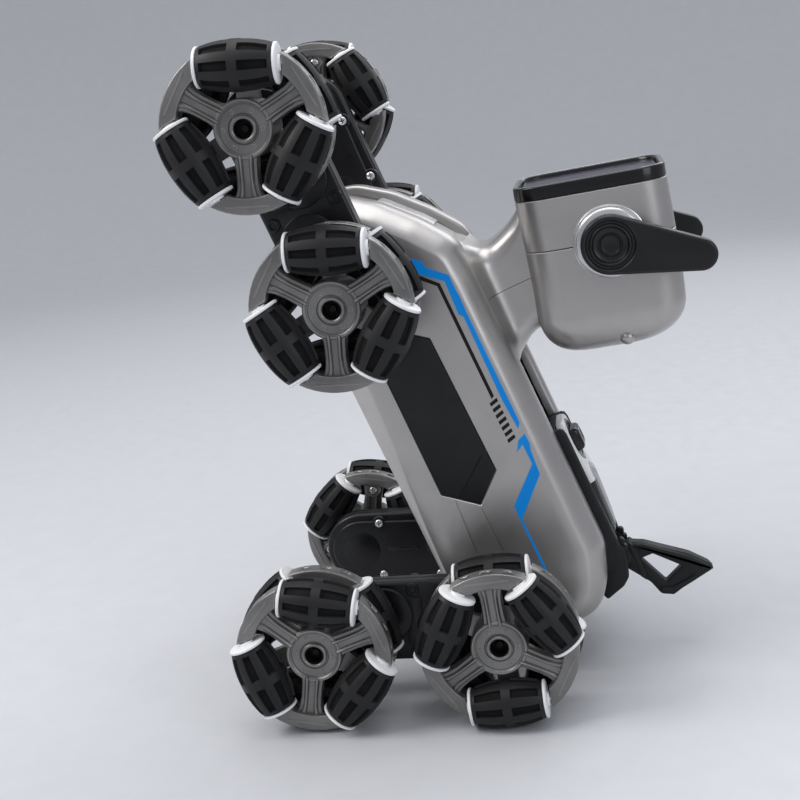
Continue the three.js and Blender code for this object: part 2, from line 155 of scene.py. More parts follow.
class Builder:
    """Collects loops, lofts and solids of one piece, in millimetres."""

    def __init__(self):
        self.bm = bmesh.new()
        self.material = 0
        self.space = Matrix.Identity(4)

    def ring(self, points):
        return [self.bm.verts.new(self.space @ Vector(p)) for p in points]

    def bridge(self, a, b, closed=True):
        count = len(a)
        made = []
        for i in range(count if closed else count - 1):
            j = (i + 1) % count
            corners = [a[i], a[j], b[j], b[i]]
            unique = list(dict.fromkeys(corners))
            if len(unique) < 3:
                continue
            face = self.bm.faces.new(unique)
            face.material_index = self.material
            made.append(face)
        return made

    def loft(self, rings, cap_start=True, cap_end=True, closed=True):
        loops = [self.ring(points) for points in rings]
        for a, b in zip(loops, loops[1:]):
            self.bridge(a, b, closed)
        for loop, wanted in ((loops[0], cap_start), (loops[-1], cap_end)):
            if wanted:
                self.cap(loop)
        return loops

    def cap(self, loop):
        face = self.bm.faces.new(loop)
        face.material_index = self.material

    def lathe(self, profile, sides=48, centre=(0, 0, 0), axis="X"):
        """Turns (along, radius) points about an axis. An end at radius 0 closes on the axis."""
        spots = {"X": lambda a, c, s: (a, c, s), "Z": lambda a, c, s: (c, s, a)}
        spot = spots[axis]
        centre = Vector(centre)
        loops = []
        for along, radius in profile:
            if radius < 1e-6:
                loops.append(self.ring([centre + Vector(spot(along, 0, 0))]) * sides)
                continue
            loop = []
            for k in range(sides):
                angle = 2 * math.pi * k / sides
                c, s = radius * math.cos(angle), radius * math.sin(angle)
                loop.append(centre + Vector(spot(along, c, s)))
            loops.append(self.ring(loop))
        for a, b in zip(loops, loops[1:]):
            self.bridge(a, b)
        return loops

    def plate(self, points, x0, x1, bevel=0.0, steps=3, holes=(), bevel_start=None):
        """A flat plate drawn in Y and Z between two X planes, with rounded edges and holes."""
        start_bevel = bevel if bevel_start is None else bevel_start
        levels = []
        for k in range(steps + 1):
            angle = math.pi / 2 * k / steps
            levels.append((start_bevel * (1 - math.sin(angle)), x0 + start_bevel * (1 - math.cos(angle))))
        for k in range(steps + 1):
            angle = math.pi / 2 * k / steps
            levels.append((bevel * (1 - math.cos(angle)), x1 - bevel * (1 - math.sin(angle))))
        levels = [level for i, level in enumerate(levels) if i == 0 or level != levels[i - 1]]
        ends = [[], []]
        for outline, sign in [(points, 1)] + [(hole, -1) for hole in holes]:
            outline = [Vector(p) for p in outline]
            rings = [at_x(offset(outline, sign * inset), x) for inset, x in levels]
            loops = self.loft(rings, cap_start=False, cap_end=False)
            ends[0].append(loops[0])
            ends[1].append(loops[-1])
        for loops in ends:
            self.fill(loops)

    def fill(self, loops):
        """Fills a flat face whose first loop is the outline and the others are holes."""
        if len(loops) == 1:
            self.cap(loops[0])
            return
        edges = []
        for loop in loops:
            for a, b in zip(loop, loop[1:] + loop[:1]):
                edges.append(self.bm.edges.get((a, b)) or self.bm.edges.new((a, b)))
        result = bmesh.ops.triangle_fill(self.bm, use_beauty=True, edges=edges)
        for item in result["geom"]:
            if isinstance(item, bmesh.types.BMFace):
                item.material_index = self.material

    def mesh(self, name, smooth_angle=35):
        bmesh.ops.remove_doubles(self.bm, verts=self.bm.verts, dist=1e-5)
        bmesh.ops.recalc_face_normals(self.bm, faces=self.bm.faces)
        mesh = bpy.data.meshes.new(name)
        self.bm.to_mesh(mesh)
        self.bm.free()
        mesh.shade_smooth()
        mesh.set_sharp_from_angle(angle=math.radians(smooth_angle))
        return mesh


def make(name, mesh, body, materials, place=None, replaces=()):
    """Places a mesh drawn in millimetres as a piece in metres, riding on a body."""
    mesh = mesh.copy()
    mesh.name = name
    place = place or Matrix.Identity(4)
    mesh.transform(Matrix.Scale(MM, 4) @ place)
    if place.determinant() < 0:
        mesh.flip_normals()
    for material in materials:
        mesh.materials.append(material)
    piece = bpy.data.objects.new(name, mesh)
    bpy.context.scene.collection.objects.link(piece)
    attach(piece, body)
    if replaces:
        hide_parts(*replaces)
    return piece


def cut(mesh, cutter):
    """The first mesh less the second, which is used up."""
    pair = []
    for data in (mesh, cutter):
        holder = bpy.data.objects.new("cut_work", data)
        bpy.context.scene.collection.objects.link(holder)
        pair.append(holder)
    modifier = pair[0].modifiers.new("cut", "BOOLEAN")
    modifier.operation = "DIFFERENCE"
    modifier.solver = "EXACT"
    modifier.object = pair[1]
    depsgraph = bpy.context.evaluated_depsgraph_get()
    result = bpy.data.meshes.new_from_object(pair[0].evaluated_get(depsgraph))
    for holder in pair:
        bpy.data.objects.remove(holder)
    return result


def box_into(builder, low, high):
    """A plain box, used for small cutters."""
    x0, y0, z0 = low
    x1, y1, z1 = high
    corners = [(y0, z0), (y1, z0), (y1, z1), (y0, z1)]
    builder.loft([at_x(corners, x0), at_x(corners, x1)])


# ---------- Materials ----------
def surface(name, color, roughness, metallic=0.0, specular=0.5, coat=0.0, coat_roughness=0.05,
            grain=4000, bump=0.05, mottle=0.12, wear_and_highlight=0.0, wear_and_highlight_color=(0.6, 0.6, 0.6), flake=0.0):
    """A moulded or painted surface: grain in its bump, slow variation in colour and gloss, and edges lightened by
    pointiness, which are worn edges on most materials and a painted highlight on the grey hub.
    """
    material = bpy.data.materials.new(name)
    material.use_nodes = True
    nodes, links = material.node_tree.nodes, material.node_tree.links
    shader = nodes["Principled BSDF"]
    shader.inputs["Metallic"].default_value = metallic
    shader.inputs["Specular IOR Level"].default_value = specular
    shader.inputs["Coat Weight"].default_value = coat
    shader.inputs["Coat Roughness"].default_value = coat_roughness
    place = nodes.new("ShaderNodeTexCoord").outputs["Object"]

    def noise(scale, detail=4.0):
        node = nodes.new("ShaderNodeTexNoise")
        node.inputs["Scale"].default_value = scale
        node.inputs["Detail"].default_value = detail
        links.new(place, node.inputs["Vector"])
        return node.outputs["Fac"]

    def spread(value, low, high, start=0.3, end=0.7):
        node = nodes.new("ShaderNodeMapRange")
        node.inputs["From Min"].default_value = start
        node.inputs["From Max"].default_value = end
        node.inputs["To Min"].default_value = low
        node.inputs["To Max"].default_value = high
        links.new(value, node.inputs["Value"])
        return node.outputs["Result"]

    def mixed(share, first, second):
        node = nodes.new("ShaderNodeMix")
        node.data_type = "RGBA"
        links.new(share, node.inputs["Factor"])
        for socket, value in ((node.inputs[6], first), (node.inputs[7], second)):
            if isinstance(value, tuple):
                socket.default_value = (*value, 1)
            else:
                links.new(value, socket)
        return node.outputs[2]

    darker = tuple(c * (1 - mottle) for c in color)
    lighter = tuple(min(1, c * (1 + mottle)) for c in color)
    tint = mixed(spread(noise(55), 0, 1), darker, lighter)
    if flake:
        sparkle = tuple(min(1, c * (1 + flake)) for c in color)
        tint = mixed(spread(noise(9000, 1.0), 0, 0.55, 0.56, 0.72), tint, sparkle)
    # Edges lightened by pointiness: wear on most materials, a painted highlight along the grey hub's edges.
    if wear_and_highlight:
        geometry = nodes.new("ShaderNodeNewGeometry")
        edge = spread(geometry.outputs["Pointiness"], 0, wear_and_highlight, 0.53, 0.62)
        tint = mixed(edge, tint, wear_and_highlight_color)
    links.new(tint, shader.inputs["Base Color"])
    links.new(spread(noise(90), roughness * 0.85, roughness * 1.18), shader.inputs["Roughness"])
    relief = nodes.new("ShaderNodeBump")
    relief.inputs["Strength"].default_value = bump
    relief.inputs["Distance"].default_value = 0.0004
    links.new(noise(grain, 2.0), relief.inputs["Height"])
    links.new(relief.outputs["Normal"], shader.inputs["Normal"])
    return material


SILVER = surface("silver_paint", (0.44, 0.425, 0.415), 0.34, metallic=0.8, coat=0.15, coat_roughness=0.25,
                 grain=9000, bump=0.03, mottle=0.035, flake=0.3)
# A darkened copy of the silver: painted shade for the deck's channel.
SILVER_PAINTED_SHADE = surface("silver_painted_shade", (0.045, 0.044, 0.043), 0.5, metallic=0.4, bump=0.05, mottle=0.05)
PANEL = surface("panel_black", (0.009, 0.0095, 0.0095), 0.5, specular=0.35, grain=5200, bump=0.16, mottle=0.1,
                wear_and_highlight=0.2, wear_and_highlight_color=(0.05, 0.05, 0.05))
LEG = surface("leg_black", (0.005, 0.005, 0.006), 0.3, specular=0.4, grain=4200, bump=0.06, mottle=0.12,
              wear_and_highlight=0.25, wear_and_highlight_color=(0.05, 0.05, 0.055))
GLOSS = surface("gloss_black", (0.004, 0.004, 0.005), 0.2, specular=0.4, coat=0.15, grain=900, bump=0.01, mottle=0.05)
GLASS = surface("screen_glass", (0.011, 0.006, 0.024), 0.2, specular=0.12, grain=300, bump=0.004, mottle=0.12)
RUBBER = surface("roller_rubber", (0.0095, 0.0095, 0.0105), 0.5, specular=0.35, grain=3600, bump=0.12,
                 mottle=0.14, wear_and_highlight=0.3, wear_and_highlight_color=(0.045, 0.045, 0.05))
# A darker black for the roller windows: painted shade in the recesses.
WINDOW_PAINTED_SHADE = surface("roller_window_shade", (0.003, 0.003, 0.0035), 0.75, specular=0.2, grain=3600, bump=0.1, mottle=0.1)
WHITE = surface("cap_white", (0.86, 0.86, 0.87), 0.4, grain=2500, bump=0.03, mottle=0.03)
# The strong edge lightening on the hub is a painted highlight along its spokes and rims.
HUB = surface("hub_grey", (0.2, 0.196, 0.19), 0.33, metallic=0.65, grain=3200, bump=0.12, mottle=0.22,
              wear_and_highlight=0.65, wear_and_highlight_color=(0.42, 0.41, 0.4))
BORE = surface("bore_dark", (0.004, 0.004, 0.004), 0.6, specular=0.3, bump=0.05)
STEEL = surface("screw_steel", (0.62, 0.62, 0.63), 0.26, metallic=1.0, grain=2600, bump=0.05, mottle=0.1,
                wear_and_highlight=0.2, wear_and_highlight_color=(0.8, 0.8, 0.8))
BLUE = surface("stripe_blue", (0.0, 0.29, 0.86), 0.5, specular=0.25, grain=5000, bump=0.02, mottle=0.04)
STRIPE = surface("stripe_black", (0.006, 0.006, 0.0065), 0.5, specular=0.25, grain=5000, bump=0.03, mottle=0.08)
# A bright grey: the light wedge on the spine, and a painted highlight on the bezel's top edge and the ear bosses.
LIGHT_GREY_AND_HIGHLIGHT = surface("light_grey_and_painted_highlight", (0.62, 0.62, 0.63), 0.26, metallic=0.7, grain=5000, bump=0.02, mottle=0.05)
COVER = surface("cover_silver", (0.86, 0.86, 0.86), 0.3, metallic=0.05, coat=0.2, grain=6000, bump=0.02, mottle=0.03)
EAR_BLACK = surface("ear_black", (0.006, 0.006, 0.0068), 0.34, specular=0.4, grain=5200, bump=0.06, mottle=0.08,
                    wear_and_highlight=0.15, wear_and_highlight_color=(0.04, 0.04, 0.04))
SHAFT = surface("shaft_dark", (0.1, 0.1, 0.105), 0.35, metallic=0.9, grain=3000, bump=0.05, mottle=0.1)
CASING = surface("inner_casing", (0.06, 0.06, 0.065), 0.55, grain=3000, bump=0.1, mottle=0.15)

# ---------- Wheels ----------
WHEEL_RADIUS = 36.0
ROLLER_OFFSET = 25.2
ROLLER_HALF = 18.0
BARREL_HALF = 15.6
ROW_OFFSET = 10.0
RIM_OUTER = 34.6
RIM_INNER = 27.6
HUB_RADIUS = 12.5
WHEEL_X = abs(FRONT_WHEEL.x)
OUTER_SPOKE = {  # degrees from +Y towards +Z of one outer spoke, as each wheel stopped
    ("front", "hip"): 29,
    ("front", "outer"): 28,
    ("rear", "hip"): 95,
    ("rear", "outer"): 20,
}


def barrel_radius(s):
    return 10.6 - 2.5 * (abs(s) / 15.4) ** 2.3


def roller_mesh():
    """A barrel with eight ribs, two windows between each pair, a white cap and a pin at each end. The window floors are
    a darker black than the rubber, as painted shade.
    """
    b = Builder()
    ribs, depth = 8, 1.15
    columns = []
    for rib in range(ribs):
        for degrees, low in ((-22.5, 0), (-16.5, 0), (-11.4, 0), (-10.2, 1), (-3.5, 1),
                             (3.5, 1), (10.2, 1), (11.4, 0), (16.5, 0)):
            columns.append((math.radians(degrees + 45 * rib), low))
    stations = [(2.0, 0), (2.4, 1), (5.5, 1), (8.5, 1), (11.5, 1), (13.4, 1), (13.9, 0), (14.8, 0)]
    rows = [(-s, low) for s, low in reversed(stations)] + [(0.0, 0)] + stations
    loops = []
    for s, row_low in rows:
        loop = []
        for angle, low in columns:
            r = barrel_radius(s) - depth * row_low * low
            loop.append((r * math.cos(angle), r * math.sin(angle), s))
        loops.append(b.ring(loop))
    for (s0, low0), (s1, low1), one, two in zip(rows, rows[1:], loops, loops[1:]):
        for i, face in enumerate(b.bridge(one, two)):
            j = (i + 1) % len(columns)
            # The window floors take the darker black: painted shade in the recesses.
            face.material_index = 3 if low0 and low1 and columns[i][1] and columns[j][1] else 0
    for sign, loop in ((-1, loops[0]), (1, loops[-1])):
        b.material = 0
        for r, s in ((7.9, BARREL_HALF - 0.15), (7.3, BARREL_HALF)):
            ring = b.ring([(r * math.cos(a), r * math.sin(a), sign * s) for a, _ in columns])
            b.bridge(loop, ring)
            loop = ring
        b.cap(loop)
    for sign in (-1, 1):
        b.material = 1
        cap = [(BARREL_HALF + 0.05, 0), (BARREL_HALF + 0.05, 8.0), (15.8, 8.35), (16.6, 8.35), (16.95, 8.0),
               (17.1, 7.2), (17.1, 3.4), (ROLLER_HALF, 3.1), (ROLLER_HALF, 0)]
        b.lathe([(sign * s, r) for s, r in cap], 40, axis="Z")
        b.material = 2
        b.lathe([(sign * s, r) for s, r in ((17.0, 0), (17.0, 1.2), (19.7, 1.2), (20, 0.9), (20, 0))], 16, axis="Z")
    return b.mesh("roller_work", 30)


def rim_outline():
    edge = ROLLER_HALF + 0.35
    reach = [math.pi / 3 - math.asin(edge / r) for r in (RIM_OUTER, RIM_INNER)]
    steps = 10
    outer = [(RIM_OUTER, reach[0] * (2 * k / steps - 1)) for k in range(steps + 1)]
    inner = [(RIM_INNER, reach[1] * (1 - 2 * k / steps)) for k in range(steps + 1)]
    return [Vector((r * math.cos(a), r * math.sin(a))) for r, a in outer + inner]


def star_spaces(row):
    """Where each of a row's three spokes points, turned over for the inner row."""
    for k in range(3):
        angle = math.radians(120 * k + (0 if row > 0 else 60))
        yield turn_x(angle) @ Matrix.Scale(row, 4, (1, 0, 0))


def rims_mesh():
    """The rim blocks at the ends of the spokes, with small slots across their edges."""
    b = Builder()
    slots = Builder()
    for row in (1, -1):
        for space in star_spaces(row):
            b.space = space
            b.plate(rim_outline(), 4, 12, 0.8, 3)
            for shift in (-15, 0, 15):
                slots.space = space @ turn_x(math.radians(shift))
                box_into(slots, (7.1, RIM_OUTER - 1.1, -1.9), (9.0, RIM_OUTER + 2, 1.9))
    return cut(b.mesh("rims_work", 32), slots.mesh("slots_work"))


SPOKE_SECTION = [(-4.9, 4.0), (-4.9, 8.0), (-4.4, 8.9), (-3.3, 9.1), (-2.9, 10.1), (-2.5, 10.4), (-2.0, 10.4), (-1.6, 10.1),
                 (-1.2, 9.2), (1.2, 9.2), (1.6, 10.1), (2.0, 10.4), (2.5, 10.4), (2.9, 10.1), (3.3, 9.1), (4.4, 8.9),
                 (4.9, 8.0), (4.9, 4.0)]


def hub_star(b, row):
    """Three ribbed spokes that spread out into their rim blocks."""
    for space in star_spaces(row):
        b.space = space
        rings = []
        for radius, ridge, wide in ((10.5, 1, 1.05), (14, 1, 0.98), (20, 1, 0.95), (24, 1, 1.0), (26.5, 0.9, 1.15),
                                    (28.2, 0.8, 1.5), (29.6, 0.6, 1.9), (31.2, 0.3, 2.0), (32.2, 0.1, 2.0)):
            ring = []
            for w, x in SPOKE_SECTION:
                height = x if x <= 9.1 else 9.1 + (x - 9.1) * ridge
                ring.append((height + 0.9 * (1 - ridge), radius, w * wide))
            rings.append(ring)
        b.loft(rings)
        b.plate([(30.6, -9.0), (31.4, -9.6), (31.4, 9.6), (30.6, 9.0)], 11.6, 12.3, 0.2, 2)
        if row < 0:
            boss = [(4, 0), (4, 4.3), (10.2, 4.1), (10.8, 3.6), (10.8, 2.9), (10.2, 2.6), (10.2, 0)]
            b.lathe(boss, 24, (0, 24.6, 0))
    b.space = Matrix.Identity(4)


def joined(meshes, name):
    bm = bmesh.new()
    for mesh in meshes:
        bm.from_mesh(mesh)
    whole = bpy.data.meshes.new(name)
    bm.to_mesh(whole)
    bm.free()
    return whole


def hub_mesh():
    b = Builder()
    boss = [(-9.6, 0), (-9.6, 5.6), (-10, 6), (-10, 11.8), (-9.4, 12.5), (9.0, 12.5), (9.8, 11.9), (9.8, 11.0),
            (9.3, 10.5), (9.3, 10.2), (8.8, 9.9), (8.8, 6.5), (8.4, 6.1), (8.4, 5.8), (9.5, 5.6), (9.8, 5.3),
            (9.8, 4.6), (9.5, 4.2)]
    b.lathe(boss, 56)[-1]
    bore = [(9.5, 4.2), (9.3, 3.9), (3, 3.9), (3, 1.6), (5.5, 1.4), (5.5, 0)]
    b.material = 1
    b.lathe(bore, 56)
    b.material = 0
    hub_star(b, 1)
    hub_star(b, -1)
    for k in range(6):
        angle = math.radians(60 * k + 30)
        centre = (0, 8.2 * math.cos(angle), 8.2 * math.sin(angle))
        b.lathe([(8.6, 0), (8.6, 0.95), (9.1, 0.9), (9.2, 0.7), (9.2, 0.45), (9.0, 0.4), (9.0, 0)], 12, centre)
    axle_end = 54.0 - WHEEL_X
    b.lathe([(axle_end, 0), (axle_end, 3.1), (axle_end + 0.4, 3.4), (-9, 3.4), (-9, 0)], 24)
    return joined([b.mesh("hub_work", 32), rims_mesh()], "hub_whole")


def screw_mesh(radius):
    """A pan head with a cross recess, facing +X from the surface at x = 0."""
    b = Builder()
    high = radius * 0.5
    b.lathe([(-0.4, 0), (-0.4, radius), (high * 0.35, radius), (high * 0.75, radius * 0.86),
             (high, radius * 0.55), (high * 1.06, radius * 0.3), (high * 1.08, 0)], 28)
    head = b.mesh("screw_work", 40)
    arm, width = radius * 0.62, radius * 0.15
    for angle in (0, math.pi / 2):
        recess = Builder()
        recess.space = turn_x(angle)
        box_into(recess, (high * 0.35, -arm, -width), (high * 2, arm, width))
        head = cut(head, recess.mesh("recess_work"))
    return head


ROLLER_MESH = roller_mesh()
HUB_MESH = hub_mesh()
SCREW_MESH = screw_mesh(2.2)


def wheel(leg, side, position):
    name = f"{leg}_{side}_{position}"
    body = f"{name}_wheel"
    spot = joint_place(f"{body}_spin")
    phase = math.radians(OUTER_SPOKE[leg, position])
    place = Matrix.Translation(spot) @ turn_x(phase)
    if side == "right":
        place = Matrix.Translation(spot) @ Matrix.Rotation(math.pi, 4, "Z") @ turn_x(math.pi - phase)
    hub_node = f"wheel_{name}" if leg == "front" else f"wheel_hub_{name}"
    make(f"hub_{name}", HUB_MESH, body, [HUB, BORE], place, [hub_node])
    for k in range(3):
        radial = turn_x(math.radians(120 * k + 60)) @ Matrix.Translation((-10.2, 24.6, 0))
        head = radial @ Matrix.Rotation(math.pi, 4, "Z")
        make(f"hub_screw_{name}_{k + 1}", SCREW_MESH, body, [STEEL], place @ head)
    for row, row_name in ((1, "out"), (-1, "in")):
        for i in range(3):
            angle = math.radians(60 + 120 * i + (0 if row > 0 else 60))
            node = f"roller_{name}_{row_name}_{i + 1}"
            spin = turn_x(angle) @ Matrix.Translation((row * ROW_OFFSET, ROLLER_OFFSET, 0))
            rides_on = node if leg == "rear" else body
            stands_for = [node] if leg == "rear" else []
            make(f"barrel_{name}_{row_name}_{i + 1}", ROLLER_MESH, rides_on,
                 [RUBBER, WHITE, STEEL, WINDOW_PAINTED_SHADE], place @ spin, stands_for)


for leg in ("front", "rear"):
    for side, _ in SIDES:
        for position in ("hip", "outer"):
            wheel(leg, side, position)


# ---------- Legs ----------
LEG_RADIUS = 19.0
LEG_SPLIT_X = 52.35
LEG_ANGLES = {"front": FRONT_LEG_ANGLE, "rear": math.pi}
HIPS = {"front": FRONT_HIP, "rear": REAR_HIP}


def circle(y, z, radius, steps=32):
    turn = 2 * math.pi / steps
    return [Vector((y + radius * math.cos(turn * k), z + radius * math.sin(turn * k))) for k in range(steps)]


def bar_outline(start_radius, end_radius, length, steps=20):
    """A bar along Y with a round end at 0 and one at length."""
    lean = math.asin((start_radius - end_radius) / length)
    out = []
    for y, radius, first, last in ((0, start_radius, math.pi / 2 - lean, 1.5 * math.pi + lean),
                                   (length, end_radius, -math.pi / 2 + lean, math.pi / 2 - lean)):
        for k in range(steps + 1):
            angle = first + (last - first) * k / steps
            out.append(Vector((y + radius * math.cos(angle), radius * math.sin(angle))))
    return out


COVER_SCREWS = [(10.5, 14.2), (10.5, -14.2), (71, 14.2), (71, -14.2), (40.7, 15.2), (40.7, -15.2)]


def leg_case_mesh():
    """Outer half of a leg: a tray with a raised gear train and a collar at each wheel axle."""
    b = Builder()
    bores = [circle(y, 0, 4.1, 24) for y in (0, LEG_LENGTH)]
    b.plate(bar_outline(LEG_RADIUS, LEG_RADIUS, LEG_LENGTH), LEG_SPLIT_X + 0.3, 57.8, 1.7, 4, bores, 0.3)
    for y, radius in ((0, 15.2), (LEG_LENGTH, 15.2)):
        b.plate(circle(y, 0, radius, 48), 57.6, 59.3, 0.7, 3, [circle(y, 0, 4.1, 24)], 0.0)
        b.plate(circle(y, 0, 8.6, 40), 59.2, 61.0, 0.5, 3, [circle(y, 0, 4.1, 24)], 0.0)
    for y, z, radius in ((27.2, 3.6, 13.0), (54.3, -3.6, 13.0)):
        b.plate(circle(y, z, radius, 44), 57.6, 59.0, 0.7, 3, (), 0.0)
        b.plate(circle(y, z, 4.2, 28), 58.9, 60.2, 0.5, 3, (), 0.0)
    for y in (13.5, 40.8, 68):
        b.plate([(y - 4, -11.5), (y + 4, -11.5), (y + 4, 11.5), (y - 4, 11.5)], 57.6, 58.7, 0.4, 2, (), 0.0)
    for y, z in COVER_SCREWS:
        b.plate(circle(y, z, 3.1, 24), 57.0, 58.5, 0.35, 2, [circle(y, z, 1.5, 16)], 0.0)
    return b.mesh("leg_case_work", 40)


def leg_cover_mesh():
    """Inner half of a leg, with a raised face over the gears and a boss at each screw."""
    b = Builder()
    b.plate(bar_outline(LEG_RADIUS, LEG_RADIUS, LEG_LENGTH), 47.4, LEG_SPLIT_X, 0.3, 4, (), 1.7)
    b.plate(bar_outline(13.6, 15.6, LEG_LENGTH), 45.4, 47.6, 0.0, 3, (), 1.0)
    for y in (0, LEG_LENGTH):
        b.plate(circle(y, 0, 9.6, 40), 44.7, 45.6, 0.0, 2, (), 0.4)
    b.plate(circle(40.7, 0, 6.2, 36), 44.9, 45.6, 0.0, 2, (), 0.35)
    for y0, y1 in ((14, 30), (51, 67)):
        b.plate([(y0, -1.0), (y1, -1.0), (y1, 1.0), (y0, 1.0)], 44.9, 45.6, 0.0, 2, (), 0.3)
    for y, z in COVER_SCREWS:
        b.plate(circle(y, z, 3.7, 26), 45.5, 48.0, 0.0, 3, (), 0.6)
    return b.mesh("leg_cover_work", 40)


LEG_CASE_MESH = leg_case_mesh()
LEG_COVER_MESH = leg_cover_mesh()
for leg in ("front", "rear"):
    for side, side_matrix in SIDES:
        body = f"{leg}_legs"
        place = side_matrix @ Matrix.Translation(HIPS[leg]) @ turn_x(LEG_ANGLES[leg])
        make(f"case_{leg}_{side}", LEG_CASE_MESH, body, [LEG], place, [f"leg_case_{leg}_{side}"])
        make(f"cover_{leg}_{side}", LEG_COVER_MESH, body, [LEG], place, [f"leg_cover_{leg}_{side}"])
        for i, (y, z) in enumerate(COVER_SCREWS):
            spot = Matrix.Translation((45.6, y, z)) @ Matrix.Rotation(math.pi, 4, "Z")
            make(f"cover_screw_{leg}_{side}_{i + 1}", SCREW_MESH, body, [STEEL], place @ spot)


# ---------- Torso shells ----------
# Outlines in the torso's own frame: Y towards the back, Z up the spine from the rear hip.
TORSO_OUTLINE = [(-2, 206), (11, 203), (26, 192), (39, 178), (51, 162), (52.3, 145), (52.3, 5), (46.6, -11.3),
                 (38, -23.5), (12, -27), (-8, -22), (-20, -8), (-23.5, 21), (-23.5, 119), (-21, 180), (-14, 198)]
TORSO_HALF = 41.0
HEX_PANEL = [(9, 133), (15.8, 133), (22.4, 127.9), (23.4, 60.1), (9.9, 47.7), (1.8, 54.2), (-5, 59.5), (-4.4, 119.5)]
# Inset from the outline and X, from the flat side round to the channel wall or to the middle seam.
BACK_EDGE = [(14, 41), (9.4, 41), (8.6, 40.85), (7.2, 40.1), (5.2, 38.3), (3.2, 36), (1.5, 33.4), (0.5, 31.2),
             (0.05, 29), (0, 26), (0, 22.2), (0.25, 21), (0.9, 20.35), (2, 20.15), (4.5, 20.15)]
BELLY_EDGE = [(14, 41), (9.4, 41), (8.9, 40.9), (7.5, 40), (5.5, 38), (3.5, 35.6), (1.8, 33.4), (0.7, 32),
              (0.2, 30.5), (0, 27), (0, 20), (0, 12), (0, 5), (0.05, 0.6), (0.4, 0.16)]
SHELL_WALL = 1.6
HIP_BORE = 6.7


def eased(value):
    value = min(max(value, 0.0), 1.0)
    return value * value * (3 - 2 * value)


def back_share(point):
    """1 where the edge runs along the open channel, 0 where the two shells meet in the middle."""
    start = -9 if point.y > 100 else 5
    return eased((point.x - start) / 10)


def belly_depth(point):
    """How wide the belly chamfer is: narrow by the tail, wide by the chest."""
    return 0.45 + 0.7 * eased((point.y - 10) / 115)


def solidified(mesh, thickness):
    """The mesh with its inside wall added, as one closed piece."""
    holder = bpy.data.objects.new("wall_work", mesh)
    bpy.context.scene.collection.objects.link(holder)
    modifier = holder.modifiers.new("wall", "SOLIDIFY")
    modifier.thickness = thickness
    modifier.offset = -1
    depsgraph = bpy.context.evaluated_depsgraph_get()
    result = bpy.data.meshes.new_from_object(holder.evaluated_get(depsgraph))
    bpy.data.objects.remove(holder)
    return result


def grooved(mesh, lines, width, x0, x1):
    """The mesh with straight grooves cut into its flat side. A line is two (y, z) ends."""
    for start, end in lines:
        start, end = Vector(start), Vector(end)
        across = (end - start).normalized().orthogonal() * (width / 2)
        corners = [start - across, end - across, end + across, start + across]
        groove = Builder()
        groove.loft([at_x(corners, x0), at_x(corners, x1)])
        mesh = cut(mesh, groove.mesh("groove_work"))
    return mesh


SIDE_CREASES = [((0.2, 54.6), (-1.6, 27.6)), ((9.6, 46.6), (9.8, 22.6))]
PANEL_CREASE = [((20.4, 69.4), (1.2, 54.5))]


def side_shell_mesh():
    b = Builder()
    around = resampled(rounded(TORSO_OUTLINE, 22, 8), 260)
    insets = {}
    rings = []
    for back, belly in zip(BACK_EDGE, BELLY_EDGE):
        ring = []
        for i, point in enumerate(around):
            share = back_share(point)
            belly_inset = belly[0] if belly[0] >= 14 else belly[0] * belly_depth(point)
            inset = share * back[0] + (1 - share) * belly_inset
            if inset not in insets:
                insets[inset] = offset(around, inset)
            x = share * back[1] + (1 - share) * belly[1]
            spot = insets[inset][i]
            ring.append(Vector((x, spot.x, spot.y)))
        rings.append(ring)
    loops = b.loft(rings, cap_start=False, cap_end=False)
    hole = rounded(HEX_PANEL, 0.8, 3)
    edge = [b.ring(at_x(offset(hole, inset), x)) for inset, x in ((-0.3, TORSO_HALF), (0, 40.7), (0, 38.8), (1.5, 38.6))]
    for one, two in zip(edge, edge[1:]):
        b.bridge(one, two)
    b.fill([loops[0], edge[0]])
    mesh = b.mesh("side_shell_work", 38)
    mesh = solidified(mesh, SHELL_WALL)
    bores = Builder()
    for z in (0, HIP_SPACING):
        bores.lathe([(30, 0), (30, HIP_BORE), (50, HIP_BORE), (50, 0)], 40, (0, 0, z))
    mesh = cut(mesh, bores.mesh("bores_work"))
    mesh = grooved(mesh, SIDE_CREASES, 0.7, 40.4, 42)
    mesh.set_sharp_from_angle(angle=math.radians(38))
    return mesh


def panel_mesh():
    """The hexagonal side panel, with a crease across its lower end."""
    b = Builder()
    face = offset(rounded(HEX_PANEL, 0.8, 3), 0.35)
    b.plate(face, 38.9, 40.75, 0.35, 2, (), 0.1)
    mesh = grooved(b.mesh("panel_work", 40), PANEL_CREASE, 0.9, 40.1, 42)
    mesh.set_sharp_from_angle(angle=math.radians(40))
    return mesh


# Printed side stripes, as outlines on the flat side.
STRIPE_UPPER = [(30.1, 164.2), (34.5, 160.6), (34.6, 157.7), (42.6, 150.1), (42.5, 142.2), (42.8, 139.6), (42.5, 132),
                (42.6, 87.1), (42.6, 76.3), (40.7, 73.7), (39.8, 88.6), (40.4, 130.6), (38.8, 132.5),
                (39.6, 148.5), (30.0, 156.6)]
STRIPE_LOWER = [(42.5, 70.6), (42.6, 65.4), (41.7, 62.4), (40.8, 50.5), (24.4, 34.3), (24.4, 6.8), (23.2, 7.4),
                (23.3, 34.1), (23.5, 41.4), (39.5, 56.2), (39.4, 66.4), (35.4, 63.8), (38.6, 69.0)]
LINE = [(30.7, 155.3), (37.3, 148.5), (37.3, 92.1), (35.7, 91.2), (35.7, 147.9), (29.3, 154.2)]


def decal_mesh(outlines):
    b = Builder()
    for points in outlines:
        b.plate([Vector(p) for p in points], 40.9, 41.1, 0.05, 1, (), 0.0)
    return b.mesh("decal_work")


